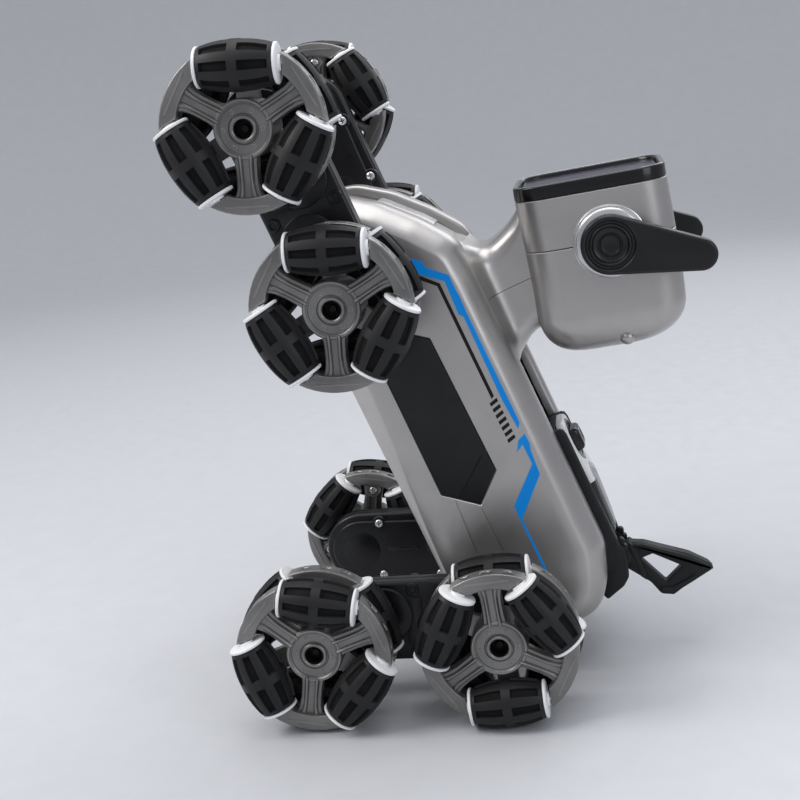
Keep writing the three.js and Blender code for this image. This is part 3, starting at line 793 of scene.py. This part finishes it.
def dash_outlines():
    out = []
    for k in range(7):
        z = 89.8 - 3.1 * k
        out.append([(34.0, z), (38.0, z + 1.1), (38.0, z - 0.6), (34.0, z - 1.7)])
    return out


SIDE_SHELL_MESH = side_shell_mesh()
PANEL_MESH = panel_mesh()
STRIPE_MESH = decal_mesh([STRIPE_UPPER, STRIPE_LOWER])
LINE_MESH = decal_mesh([LINE] + dash_outlines())
for side, side_matrix in SIDES:
    place = side_matrix @ TORSO
    make(f"shell_{side}", SIDE_SHELL_MESH, "torso", [SILVER], place, [f"side_shell_{side}"])
    make(f"panel_{side}", PANEL_MESH, "torso", [PANEL], place, [f"side_panel_{side}"])
    make(f"stripe_{side}", STRIPE_MESH, "torso", [BLUE], place)
    make(f"stripe_line_{side}", LINE_MESH, "torso", [STRIPE], place)

# ---------- Channel down the chest and back ----------
DECK_TOP = [(-1, 203.0), (9.5, 200.4), (23.5, 190.1), (36.8, 176.1), (48.3, 161), (49.5, 144.5), (49.5, 61)]


def run_along(points, radius, count):
    """Evenly spaced (point, normal) pairs of an open line with rounded corners. Normals face outwards."""
    corners = rounded(points, [0] + [radius] * (len(points) - 2) + [0], 8)
    lengths = [0.0]
    for a, b in zip(corners, corners[1:]):
        lengths.append(lengths[-1] + (b - a).length)
    spots = []
    i = 0
    for k in range(count):
        at = min(lengths[-1] * k / (count - 1), lengths[-1] - 1e-6)
        while lengths[i + 1] < at:
            i += 1
        spots.append(corners[i].lerp(corners[i + 1], (at - lengths[i]) / (lengths[i + 1] - lengths[i])))
    out = []
    for k, spot in enumerate(spots):
        along = (spots[min(k + 1, count - 1)] - spots[max(k - 1, 0)]).normalized()
        out.append((spot, Vector((-along.y, along.x))))
    return out


def strip(b, run, section):
    """Lofts a section of (x, height) points along a run."""
    rings = []
    for spot, normal in run:
        rings.append([Vector((x, spot.x + normal.x * h, spot.y + normal.y * h)) for x, h in section])
    return b.loft(rings)


def mirrored_section(half):
    return half + [(-x, h) for x, h in reversed(half)]


def deck_mesh():
    """A raised centre strip between two slots that thin ribs cross. The slot floors, their end wall, part of the centre
    strip and a short strip near the front take a darkened silver as painted shade in the channel.
    """
    b = Builder()
    run = run_along(DECK_TOP, 16, 90)
    strip(b, run[:72], mirrored_section([(10.0, -8.0), (12.2, -8.0), (12.2, -1.6), (11.8, -0.9), (10.8, -0.5)]))
    # Darkened silver from here on is painted shade in the channel.
    b.material = 1
    strip(b, run[71:], mirrored_section([(10.0, -8.0), (12.2, -8.0), (12.2, -3.6), (11.6, -2.8), (10.6, -2.6)]))
    strip(b, run, mirrored_section([(12.0, -8.0), (19.7, -8.0), (19.7, -6.4), (12.0, -6.4)]))
    box_into(b, (-19.7, -10.0, 195.0), (19.7, -0.9, 196.6))
    b.material = 0
    for side in (1, -1):
        for k in (10, 17, 24, 31, 74, 80, 86):
            rib = [(side * x, h) for x, h in ((12.0, -6.6), (19.7, -6.6), (19.7, -2.8), (19.3, -2.4), (12.0, -2.4))]
            strip(b, run[k : k + 2], rib)
        edge = [(side * x, h) for x, h in ((4.0, -3.0), (6.2, -3.0), (6.2, -1.4), (5.8, -1.0), (4.4, -1.0), (4.0, -1.4))]
        strip(b, run[71:], edge)
    b.material = 1
    strip(b, run[4:14], mirrored_section([(7.0, -0.8), (8.4, -0.8), (8.4, -0.2), (7.0, -0.1)]))
    b.material = 0
    strip(b, run[14:30], mirrored_section([(5.5, -0.8), (8.6, -0.8), (8.4, 0.1), (7.6, 0.9), (6.0, 1.2)]))
    return b.mesh("deck_work", 35)


make("deck", deck_mesh(), "torso", [SILVER, SILVER_PAINTED_SHADE], TORSO, ["back_deck"])

# ---------- Neck ----------
HEAD_IN_TORSO = TORSO.inverted() @ HEAD
HEAD_BACK = HEAD_IN_TORSO @ Vector((0, -33.2, 0))
HEAD_BACK_FACING = (HEAD_IN_TORSO.to_3x3() @ Vector((0, 1, 0))).normalized()


def head_plane(z):
    """Y of the head's back face at a height up the spine."""
    return HEAD_BACK.y - (z - HEAD_BACK.z) * HEAD_BACK_FACING.z / HEAD_BACK_FACING.y


def back_plane(z):
    """Y of the shells' back at a height up the spine, where the neck stands."""
    return 52.3 - 0.076 * max(z - 145, 0)


def neck_mesh():
    """A saddle that flares onto the shells at one end and stands flat on the head at the other."""
    b = Builder()
    rings = []
    levels = [  # share of the way from the shells to the head, then low, high, half width
        (-0.36, 96.0, 167.0, 19.8), (-0.2, 97.4, 163.4, 19.8), (-0.015, 99.1, 158.2, 19.85), (-0.004, 98.7, 158.4, 29.4),
        (0.006, 99.0, 158.0, 28.4), (0.022, 99.4, 157.4, 27.0), (0.045, 99.8, 156.6, 25.6), (0.08, 100.2, 155.4, 24.1),
        (0.125, 100.6, 154.2, 22.8), (0.18, 101.1, 153.2, 21.7), (0.25, 101.7, 152.6, 20.9), (0.34, 102.5, 152.7, 20.3),
        (0.44, 103.4, 153.3, 19.9), (0.56, 104.5, 154.4, 19.6), (0.68, 105.5, 155.8, 19.5), (0.79, 106.2, 157.4, 19.5),
        (0.88, 106.7, 159.2, 19.6), (0.95, 107.0, 161.4, 19.7), (1.0, 107.1, 163.4, 19.8), (1.04, 107.1, 163.6, 19.8)]
    for share, low, high, half in levels:
        corners = [(-half, low), (half, low), (half, high), (-half, high)]
        ring = []
        for p in resampled(rounded(corners, 9.5, 8), 132):
            start = back_plane(p.y)
            ring.append(Vector((p.x, start + (head_plane(p.y) - start) * share, p.y)))
        rings.append(ring)
    b.loft(rings)
    return b.mesh("neck_work", 60)


NECK_SPLIT = 131.0


def part_of(mesh, low, high):
    """The mesh less everything between two heights."""
    cutter = Builder()
    box_into(cutter, (-90, -90, low), (90, 190, high))
    kept = cut(mesh.copy(), cutter.mesh("part_work"))
    kept.set_sharp_from_angle(angle=math.radians(60))
    return kept


neck = neck_mesh()
make("neck_upper", part_of(neck, -200, NECK_SPLIT + 0.12), "torso", [SILVER], TORSO, ["neck"])
make("neck_lower", part_of(neck, NECK_SPLIT - 0.12, 400), "torso", [SILVER], TORSO)

# ---------- Spine frame and cover ----------
TAIL_PIVOT = (53.0, -13.0)
BUTTON_LOW, BUTTON_HIGH = 44.0, 56.0


def section_loft(b, sections):
    """Lofts boxes up the spine. A section is z, low x, high x, low y, high y and edge radius."""
    rings = []
    for z, x0, x1, y0, y1, radius in sections:
        corners = [(x0, y0), (x1, y0), (x1, y1), (x0, y1)]
        rings.append([Vector((p.x, p.y, z)) for p in rounded(corners, radius, 4)])
    b.loft(rings)


def spine_frame_mesh():
    """Rails beside the spine cover that meet at a two-lobed fork for the tail."""
    b = Builder()
    floor = rounded([(46.8, 60.5), (52.2, 60.5), (52.2, 3), (50.5, -3), (43.5, -4), (46.8, 7)], [0.5, 0.5, 3, 3, 1, 6])
    b.plate(floor, -19.6, 19.6, 0.4, 2)
    for side in (1, -1):
        b.space = Matrix.Scale(side, 4, (1, 0, 0))
        rails = [(60.5, 15.9, 18.7, 50, 54.6, 0.9), (59.6, 15.5, 19.4, 50, 56.0, 1.1), (57, 15.4, 19.6, 50, 56.6, 1.2),
                 (30, 15.4, 19.6, 50, 56.6, 1.2), (14, 13.6, 19.3, 49, 56.7, 1.2), (4, 10.6, 18.2, 46, 56.6, 1.2),
                 (-4, 7.6, 15.4, 43, 56.2, 1.2), (-10, 5.8, 12.4, 40, 55.6, 1.2), (-16, 5.6, 10.8, 40, 53.6, 1.2)]
        section_loft(b, rails)
        for z in (34, 26.5, 19):
            b.plate([(52.0, z), (53.4, z), (53.4, z + 4.6), (52.0, z + 4.6)], 12.5, 19.0, 0.3, 2)
        cheek = [(39.5, -8), (43, -3), (55.4, -2.8), (57.3, -7.2), (56.2, -14), (53.4, -21.4), (49.5, -24.7),
                 (39.4, -28.0), (35.8, -17.2)]
        b.plate(rounded(cheek, [2, 2, 3, 2.4, 6, 4, 3, 1.2, 2], 6), 5.5, 11.2, 1.2, 4, (), 0.3)
        for y, z in ((57.0, -3.9), (57.2, -7.4)):
            b.plate(circle(y, z, 1.75, 24), 6.2, 9.6, 0.4, 2)
    b.space = Matrix.Identity(4)
    back = [(39.5, -8), (43, -3), (46.6, -5), (46.0, -12), (44.4, -19.5), (42.5, -24.9), (39.4, -24.8), (36.5, -18)]
    b.plate(rounded(back, 1.0, 3), -10.4, 10.4, 0.5, 2)
    return b.mesh("spine_frame_work", 38)


COVER_SECTIONS = [  # height up the spine, half width, top
    (61.4, 9.0, 55.8), (60.6, 11.2, 56.4), (59.2, 12.8, 56.7), (57.0, 13.6, 56.8), (50, 14.6, 56.9), (42, 14.9, 57.3),
    (36, 14.9, 58.2), (30, 14.6, 58.8), (22, 13.7, 58.5), (14, 12.3, 58.1), (8, 10.8, 57.8), (3, 9.2, 57.4),
    (1.4, 8.0, 56.6)]


def cover_width(z, share=1.0):
    """Half width and top of the spine cover at a height."""
    for (z1, w1, t1), (z0, w0, t0) in zip(COVER_SECTIONS, COVER_SECTIONS[1:]):
        if z0 <= z <= z1:
            part = (z - z0) / (z1 - z0)
            return (w0 + (w1 - w0) * part) * share, t0 + (t1 - t0) * part
    return COVER_SECTIONS[-1][1] * share, COVER_SECTIONS[-1][2]


def spine_cover_mesh():
    b = Builder()
    rings = []
    for z, half, top in COVER_SECTIONS:
        edge = [(half, 52.8), (half + 0.4, 54.6), (half - 0.6, top - 0.9), (half - 1.8, top - 0.2), (half - 3.4, top)]
        rings.append([Vector((x, y, z)) for x, y in mirrored_section(edge)])
    b.loft(rings)
    for face in b.bm.faces:
        if face.calc_center_median().z < 30:
            face.material_index = 1
    well = Builder()
    box_into(well, (-7.6, 40, BUTTON_LOW - 0.3), (7.6, 70, BUTTON_HIGH + 0.3))
    mesh = cut(b.mesh("cover_work", 35), well.mesh("well_work"))
    mesh.set_sharp_from_angle(angle=math.radians(32))
    return mesh


def cover_inlay(outline, lift=0.22, sink=0.6):
    """A thin plate that follows the spine cover. The outline is (x, height up the spine), symmetric about x = 0."""
    b = Builder()
    rings = []
    for x, z in outline:
        top = cover_width(z)[1]
        ring = [(-x, top - sink), (x, top - sink), (x, top + lift * 0.5), (x - 0.3, top + lift),
                (-x + 0.3, top + lift), (-x, top + lift * 0.5)]
        rings.append([Vector((px, py, z)) for px, py in ring])
    b.loft(rings)
    return b


def lower_inlay_mesh():
    """The long black inlay below the button; the light wedge at its top is built on its own."""
    b = cover_inlay([(1.0, 33.0), (5.0, 31.0), (9.4, 29.0), (9.2, 22), (8.4, 14), (7.2, 8), (6.0, 3.6)])
    return b.mesh("lower_inlay_work", 30)


def upper_inlay_mesh():
    """A black diamond round the button, with an opening for it."""
    b = cover_inlay([(1.2, 60.2), (6.0, 58.6), (10.4, 55.0), (10.9, 50.0), (10.4, 45.0), (5.6, 40.6), (1.2, 38.4)])
    well = Builder()
    box_into(well, (-7.6, 40, BUTTON_LOW - 0.3), (7.6, 70, BUTTON_HIGH + 0.3))
    return cut(b.mesh("upper_inlay_work", 30), well.mesh("well_work"))


def wedge_mesh():
    b = cover_inlay([(1.2, 36.4), (5.8, 34.2), (10.4, 31.6), (10.3, 29.8), (5.4, 31.9), (0.9, 33.9)][:3] +
                    [(9.9, 29.6)], 0.12)
    return b.mesh("wedge_work", 30)


def button_mesh():
    """A squarish rocker with a dished top."""
    b = Builder()
    rings = []
    for y, inset, corner in ((51.6, 0.3, 1.6), (58.6, 0.3, 1.6), (59.9, 0.6, 1.6), (60.7, 1.3, 1.6), (60.95, 2.2, 1.6),
                             (60.8, 3.0, 1.4), (60.45, 3.9, 1.2)):
        half_x, half_z = 7.4 - inset, 5.9 - inset
        corners = [(-half_x, 50 - half_z), (half_x, 50 - half_z), (half_x, 50 + half_z), (-half_x, 50 + half_z)]
        rings.append([Vector((p.x, y, p.y)) for p in rounded(corners, corner, 5)])
    b.loft(rings)
    return b.mesh("button_work", 40)


make("spine_rails", spine_frame_mesh(), "torso", [PANEL], TORSO, ["spine_frame"])
make("spine_top", spine_cover_mesh(), "torso", [COVER, GLOSS], TORSO, ["spine_cover"])
make("spine_inlay_upper", upper_inlay_mesh(), "torso", [GLOSS], TORSO)
make("spine_inlay_lower", lower_inlay_mesh(), "torso", [GLOSS], TORSO)
make("spine_wedge", wedge_mesh(), "torso", [LIGHT_GREY_AND_HIGHLIGHT], TORSO)
make("button_cap", button_mesh(), "power_button", [GLOSS], TORSO, ["power_button"])


# ---------- Tail ----------
def tail_mesh():
    """A fin with a rounded opening, a raised upper band and a hub that turns in the fork."""
    b = Builder()
    outer = [(59.5, -7.5), (66, -10.9), (83.3, -24.4), (90, -32.3), (91.4, -35.9), (82.1, -37.8), (74, -39.3),
             (68.6, -40.8), (63.3, -38.2), (61, -30.7), (57.7, -25.3), (53.4, -19.5), (47.6, -13), (52, -7.8)]
    radii = [4, 6, 10, 3, 0.8, 8, 6, 2.5, 3, 6, 6, 4, 5, 4]
    opening = rounded([(61.3, -17.6), (67.6, -17.6), (78.0, -28.8), (67.9, -33.3)], 0.8, 4)
    fin = rounded(outer, radii, 6)
    b.plate(fin, -3.1, 3.1, 0.6, 3, [opening], 0.6)
    band = [(59.8, -8.2), (66, -11.2), (83.0, -24.9), (89.6, -32.6), (90.9, -35.6), (86.6, -33.6), (81.2, -27.2),
            (65.4, -13.9), (60.0, -11.4)]
    b.plate(rounded(band, [2, 6, 8, 2, 0.4, 2, 6, 5, 2], 5), -4.6, 4.6, 1.0, 3, (), 1.0)
    keel = [(63.3, -37.6), (68.6, -40.6), (74, -39.1), (82, -37.6), (82.4, -35.0), (74.5, -35.9), (69.0, -36.6), (64.0, -34.2)]
    b.plate(rounded(keel, [2, 2, 5, 1, 1, 5, 4, 2], 4), -4.0, 4.0, 0.8, 3, (), 0.8)
    hub = circle(*TAIL_PIVOT, 5.0, 36)
    b.plate(hub, -5.0, 5.0, 0.5, 2, (), 0.5)
    web = [(53, -18), (57.8, -25.0), (60.6, -29.6), (61.2, -24), (61.0, -17), (62.0, -12.0), (58.6, -7.8), (53, -8.2)]
    b.plate(rounded(web, [2, 2, 0.8, 4, 4, 1.5, 1, 2], 4), -4.9, 4.9, 0.7, 3, (), 0.7)
    ledge = [(58.4, -7.8), (60.0, -7.6), (61.1, -9.4), (60.6, -17), (60.3, -24.6), (60.9, -30.0), (58.0, -25.2), (58.9, -17)]
    b.plate(rounded(ledge, [0.4, 0.6, 1, 5, 5, 0.8, 0.8, 4], 4), -5.3, 5.3, 0.5, 2, (), 0.5)
    b.lathe([(-7, 0), (-7, 1.5), (7, 1.5), (7, 0)], 20, (0, *TAIL_PIVOT))
    return b.mesh("tail_work", 38)


make("tail_fin", tail_mesh(), "tail", [PANEL], TORSO, ["tail"])

# ---------- Head ----------
FACE_EDGE = [(-34, 34, 33.0)]
HEAD_SIDES = [  # height below the face, low y, high y, half x
    (-6.3, -34.0, 34.0, 33.0), (-12, -33.8, 34.2, 33.0), (-20, -33.5, 34.5, 33.0), (-29.15, -33.1, 34.7, 33.0),
    (-29.45, -33.1, 34.7, 33.0), (-38, -32.8, 34.9, 33.0), (-47, -32.6, 34.9, 32.95), (-54, -32.5, 34.8, 32.9),
    (-60, -32.4, 34.6, 32.8)]
HEAD_CORNER = 13.5


def head_ring(z, low, high, half, corner, inset=0.0):
    corners = [(-half + inset, low + inset), (half - inset, low + inset), (half - inset, high - inset),
               (-half + inset, high - inset)]
    return [Vector((p.x, p.y, z)) for p in rounded(corners, max(corner - inset, 1.0), 10)]


def front_shell_mesh():
    """The band behind the face, open at both ends."""
    b = Builder()
    rows = [row for row in HEAD_SIDES if row[0] > -29.3]
    rings = [head_ring(*rows[0], HEAD_CORNER, 2.0), head_ring(*rows[0], HEAD_CORNER, 0.25)]
    rings.append(head_ring(rows[0][0] - 0.25, *rows[0][1:], HEAD_CORNER))
    rings += [head_ring(*row, HEAD_CORNER) for row in rows[1:-1]]
    z, low, high, half = rows[-1]
    rings += [head_ring(z + 0.3, low, high, half, HEAD_CORNER), head_ring(z, low, high, half, HEAD_CORNER, 0.3)]
    rings += [head_ring(z, low, high, half, HEAD_CORNER, 2.0)]
    rings.append(rings[0])
    b.loft(rings, cap_start=False, cap_end=False)
    return b.mesh("front_shell_work", 40)


def rear_shell_mesh():
    """The rest of the head, rounded off at the back, with a boss for each ear. The bosses take a bright grey as a
    painted highlight round their rims.
    """
    b = Builder()
    rows = [row for row in HEAD_SIDES if row[0] < -29.3]
    z, low, high, half = rows[0]
    rings = [head_ring(z, low, high, half, HEAD_CORNER, 0.3), head_ring(z - 0.3, low, high, half, HEAD_CORNER)]
    rings += [head_ring(*row, HEAD_CORNER) for row in rows[1:]]
    for k in range(1, 13):
        angle = math.pi / 2 * k / 12
        drop = 1 - math.cos(angle)
        rings.append(head_ring(-60 - 18.5 * math.sin(angle), -32.4 + 15 * drop, 34.6 - 23 * drop, 32.8 - 14 * drop,
                               HEAD_CORNER - 4 * drop))
    b.loft(rings)
    # The ear bosses are bright grey: a painted highlight round their rims.
    b.material = 1
    for side in (1, -1):
        b.space = Matrix.Scale(side, 4, (1, 0, 0))
        boss = [(30, 0), (30, 16.4), (33.1, 16.4), (33.3, 16.0), (33.8, 15.8), (38.4, 15.6), (39.4, 15.1),
                (39.9, 14.2), (39.9, 4.8), (34, 4.8), (34, 0)]
        b.lathe(boss, 64, EAR_IN_HEAD)
    b.space = Matrix.Identity(4)
    return b.mesh("rear_shell_work", 40)


def bezel_mesh():
    """The glossy frame of the screen, rounded at its outer edge and stepped at its inner one."""
    b = Builder()
    shape = (-34, 34, 33, HEAD_CORNER)
    levels = [(-6.0, 2.0), (-6.0, 0.3), (-5.7, 0.0), (-1.0, 0.0), (-0.5, 0.12), (-0.15, 0.45), (0.0, 0.95), (0.0, 1.5),
              (-0.15, 2.1), (-0.5, 2.4), (-1.2, 2.7), (-2.6, 3.0), (-2.6, 5.0), (-5.0, 5.0), (-6.0, 2.0)]
    b.loft([head_ring(z, *shape[:3], shape[3], inset) for z, inset in levels], cap_start=False, cap_end=False)
    return b.mesh("bezel_work", 40)


def bezel_highlight_mesh():
    """A painted highlight: a bright grey line round the top of the bezel, where light catches its edge."""
    b = Builder()
    levels = [(-0.15, 1.15), (0.06, 1.2), (0.06, 1.4), (-0.3, 1.7), (-0.4, 1.4), (-0.15, 1.15)]
    b.loft([head_ring(z, -34, 34, 33, HEAD_CORNER, inset) for z, inset in levels], cap_start=False, cap_end=False)
    return b.mesh("bezel_highlight_work", 40)


def glass_mesh():
    b = Builder()
    levels = [(-2.4, 3.5), (-1.9, 3.5), (-1.7, 3.7), (-1.65, 4.2)]
    b.loft([head_ring(z, -34, 34, 33, HEAD_CORNER, inset) for z, inset in levels])
    return b.mesh("glass_work", 40)


def dome_mesh(radius, height):
    """A half button: a low dome on a short skirt, facing +X."""
    b = Builder()
    profile = [(-1.2, 0), (-1.2, radius), (0, radius)]
    for k in range(1, 9):
        angle = math.pi / 2 * k / 8
        profile.append((height * math.sin(angle), radius * math.cos(angle)))
    b.lathe(profile[:-1] + [(height, 0)], 32)
    return b.mesh("dome_work", 40)


HEAD_BUTTON = Matrix.Translation((27.3, 6.0, -74.4)) @ Matrix.Rotation(math.radians(40), 4, "Y")
make("head_front", front_shell_mesh(), "torso", [SILVER], HEAD, ["head_front_shell"])
make("head_rear", rear_shell_mesh(), "torso", [SILVER, LIGHT_GREY_AND_HIGHLIGHT], HEAD, ["head_rear_shell"])
make("face_frame", bezel_mesh(), "torso", [GLOSS], HEAD, ["face_bezel"])
# A bright grey line on the bezel's top edge, as a painted highlight.
make("face_frame_highlight", bezel_highlight_mesh(), "torso", [LIGHT_GREY_AND_HIGHLIGHT], HEAD)
make("face_glass", glass_mesh(), "torso", [GLASS], HEAD, ["face_screen"])
HEAD_BUTTON_MESH = dome_mesh(3.3, 3.0)
for side, side_matrix in SIDES:
    make(f"head_button_{side}", HEAD_BUTTON_MESH, "torso", [SILVER], side_matrix @ HEAD @ HEAD_BUTTON)


# ---------- Ears ----------
EAR_DROOP = math.radians(-16)


def ear_mesh():
    """A tapered plate with a dished hub of concentric steps."""
    b = Builder()
    b.plate(bar_outline(13, 7, 39, 28), 40.5, 47.9, 1.5, 5, [circle(0, 0, 10.4, 64)], 0.8)
    hub = [(40.8, 0), (40.8, 10.6), (46.6, 10.6), (46.6, 9.4), (47.4, 9.1), (47.7, 8.7), (47.7, 8.2), (47.3, 7.8), (46.2, 7.5),
           (45.6, 6.6), (45.5, 5.2), (45.9, 4.9), (45.9, 4.5), (45.3, 4.2), (45.0, 3.6), (45.0, 0)]
    b.lathe(hub, 64)
    b.lathe([(34.6, 0), (34.6, 4.0), (41, 4.0), (41, 0)], 32)
    return b.mesh("ear_work", 38)


EAR_MESH = ear_mesh()
for side, side_matrix in SIDES:
    place = side_matrix @ HEAD @ Matrix.Translation(EAR_IN_HEAD) @ turn_x(EAR_DROOP)
    make(f"ear_plate_{side}", EAR_MESH, f"ear_{side}", [EAR_BLACK], place, [f"ear_{side}"])

# ---------- CAD pieces that are shown as they are ----------
for node_name, material in (("battery_pack", CASING), ("drive_unit", CASING), ("leg_shaft_front", SHAFT),
                            ("leg_shaft_rear", SHAFT)):
    node = frame["nodes"][node_name]
    node.data.materials.clear()
    node.data.materials.append(material)
    node.data.shade_smooth()
    node.data.set_sharp_from_angle(angle=math.radians(35))

# ---------- Floor, light and camera ----------
FLOOR = surface("floor", (0.55, 0.56, 0.585), 0.42, grain=300, bump=0.01, mottle=0.015)
floor_builder = Builder()
sweep = [(0, 0), (0, 400), (0, 1500)]
for k in range(1, 13):
    bend = math.radians(80) * k / 12
    sweep.append((1000 * (1 - math.cos(bend)), 1500 + 1000 * math.sin(bend)))
floor_builder.lathe(sweep, 96, axis="Z")
floor_mesh = floor_builder.mesh("floor", 60)
floor_mesh.transform(Matrix.Scale(MM, 4))
floor_mesh.materials.append(FLOOR)
floor = bpy.data.objects.new("floor", floor_mesh)
bpy.context.scene.collection.objects.link(floor)


def area_light(name, location, target, size, power, color=(1, 1, 1)):
    light = bpy.data.lights.new(name, "AREA")
    light.shape = "RECTANGLE"
    light.size, light.size_y = size
    light.energy = power
    light.color = color
    lamp = bpy.data.objects.new(name, light)
    bpy.context.scene.collection.objects.link(lamp)
    lamp.location = location
    lamp.rotation_euler = (Vector(target) - Vector(location)).to_track_quat("-Z", "Y").to_euler()
    return lamp


CENTRE = (0, 0, 0.15)
area_light("key", (0.35, -0.95, 1.05), CENTRE, (0.7, 0.7), 10, (1, 0.985, 0.96))
area_light("top", (-0.1, 0.05, 1.5), CENTRE, (1.2, 1.2), 11)
area_light("fill", (1.25, 1.3, 0.8), CENTRE, (0.9, 0.9), 5.5, (0.93, 0.96, 1))
area_light("back", (-1.0, 0.5, 0.9), CENTRE, (0.8, 0.8), 4, (0.95, 0.97, 1))

world = bpy.data.worlds.new("studio")
world.use_nodes = True
background = world.node_tree.nodes["Background"]
background.inputs["Color"].default_value = (0.40, 0.41, 0.44, 1)
background.inputs["Strength"].default_value = 1.2
bpy.context.scene.world = world
bpy.context.scene.view_settings.view_transform = "Standard"

# The camera stands in front of the dog's left side and tips down and to the left.
YAW = math.radians(-8.592)
PITCH = math.radians(12.918)
ROLL = math.radians(-5.691)
forward = Vector((-math.cos(PITCH) * math.cos(YAW), math.cos(PITCH) * math.sin(YAW), -math.sin(PITCH)))
level_right = forward.cross(Vector((0, 0, 1))).normalized()
level_up = level_right.cross(forward)
right = level_right * math.cos(ROLL) + level_up * math.sin(ROLL)
up = level_up * math.cos(ROLL) - level_right * math.sin(ROLL)
camera_data = bpy.data.cameras.new("camera")
camera_data.lens = 65.0
camera_data.sensor_width = 36.0
camera = bpy.data.objects.new("camera", camera_data)
bpy.context.scene.collection.objects.link(camera)
turn = Matrix((right, up, -forward)).transposed().to_4x4()
camera.matrix_world = Matrix.Translation(Vector((673.35, 64.36, 282.99)) * MM) @ turn
bpy.context.scene.camera = camera
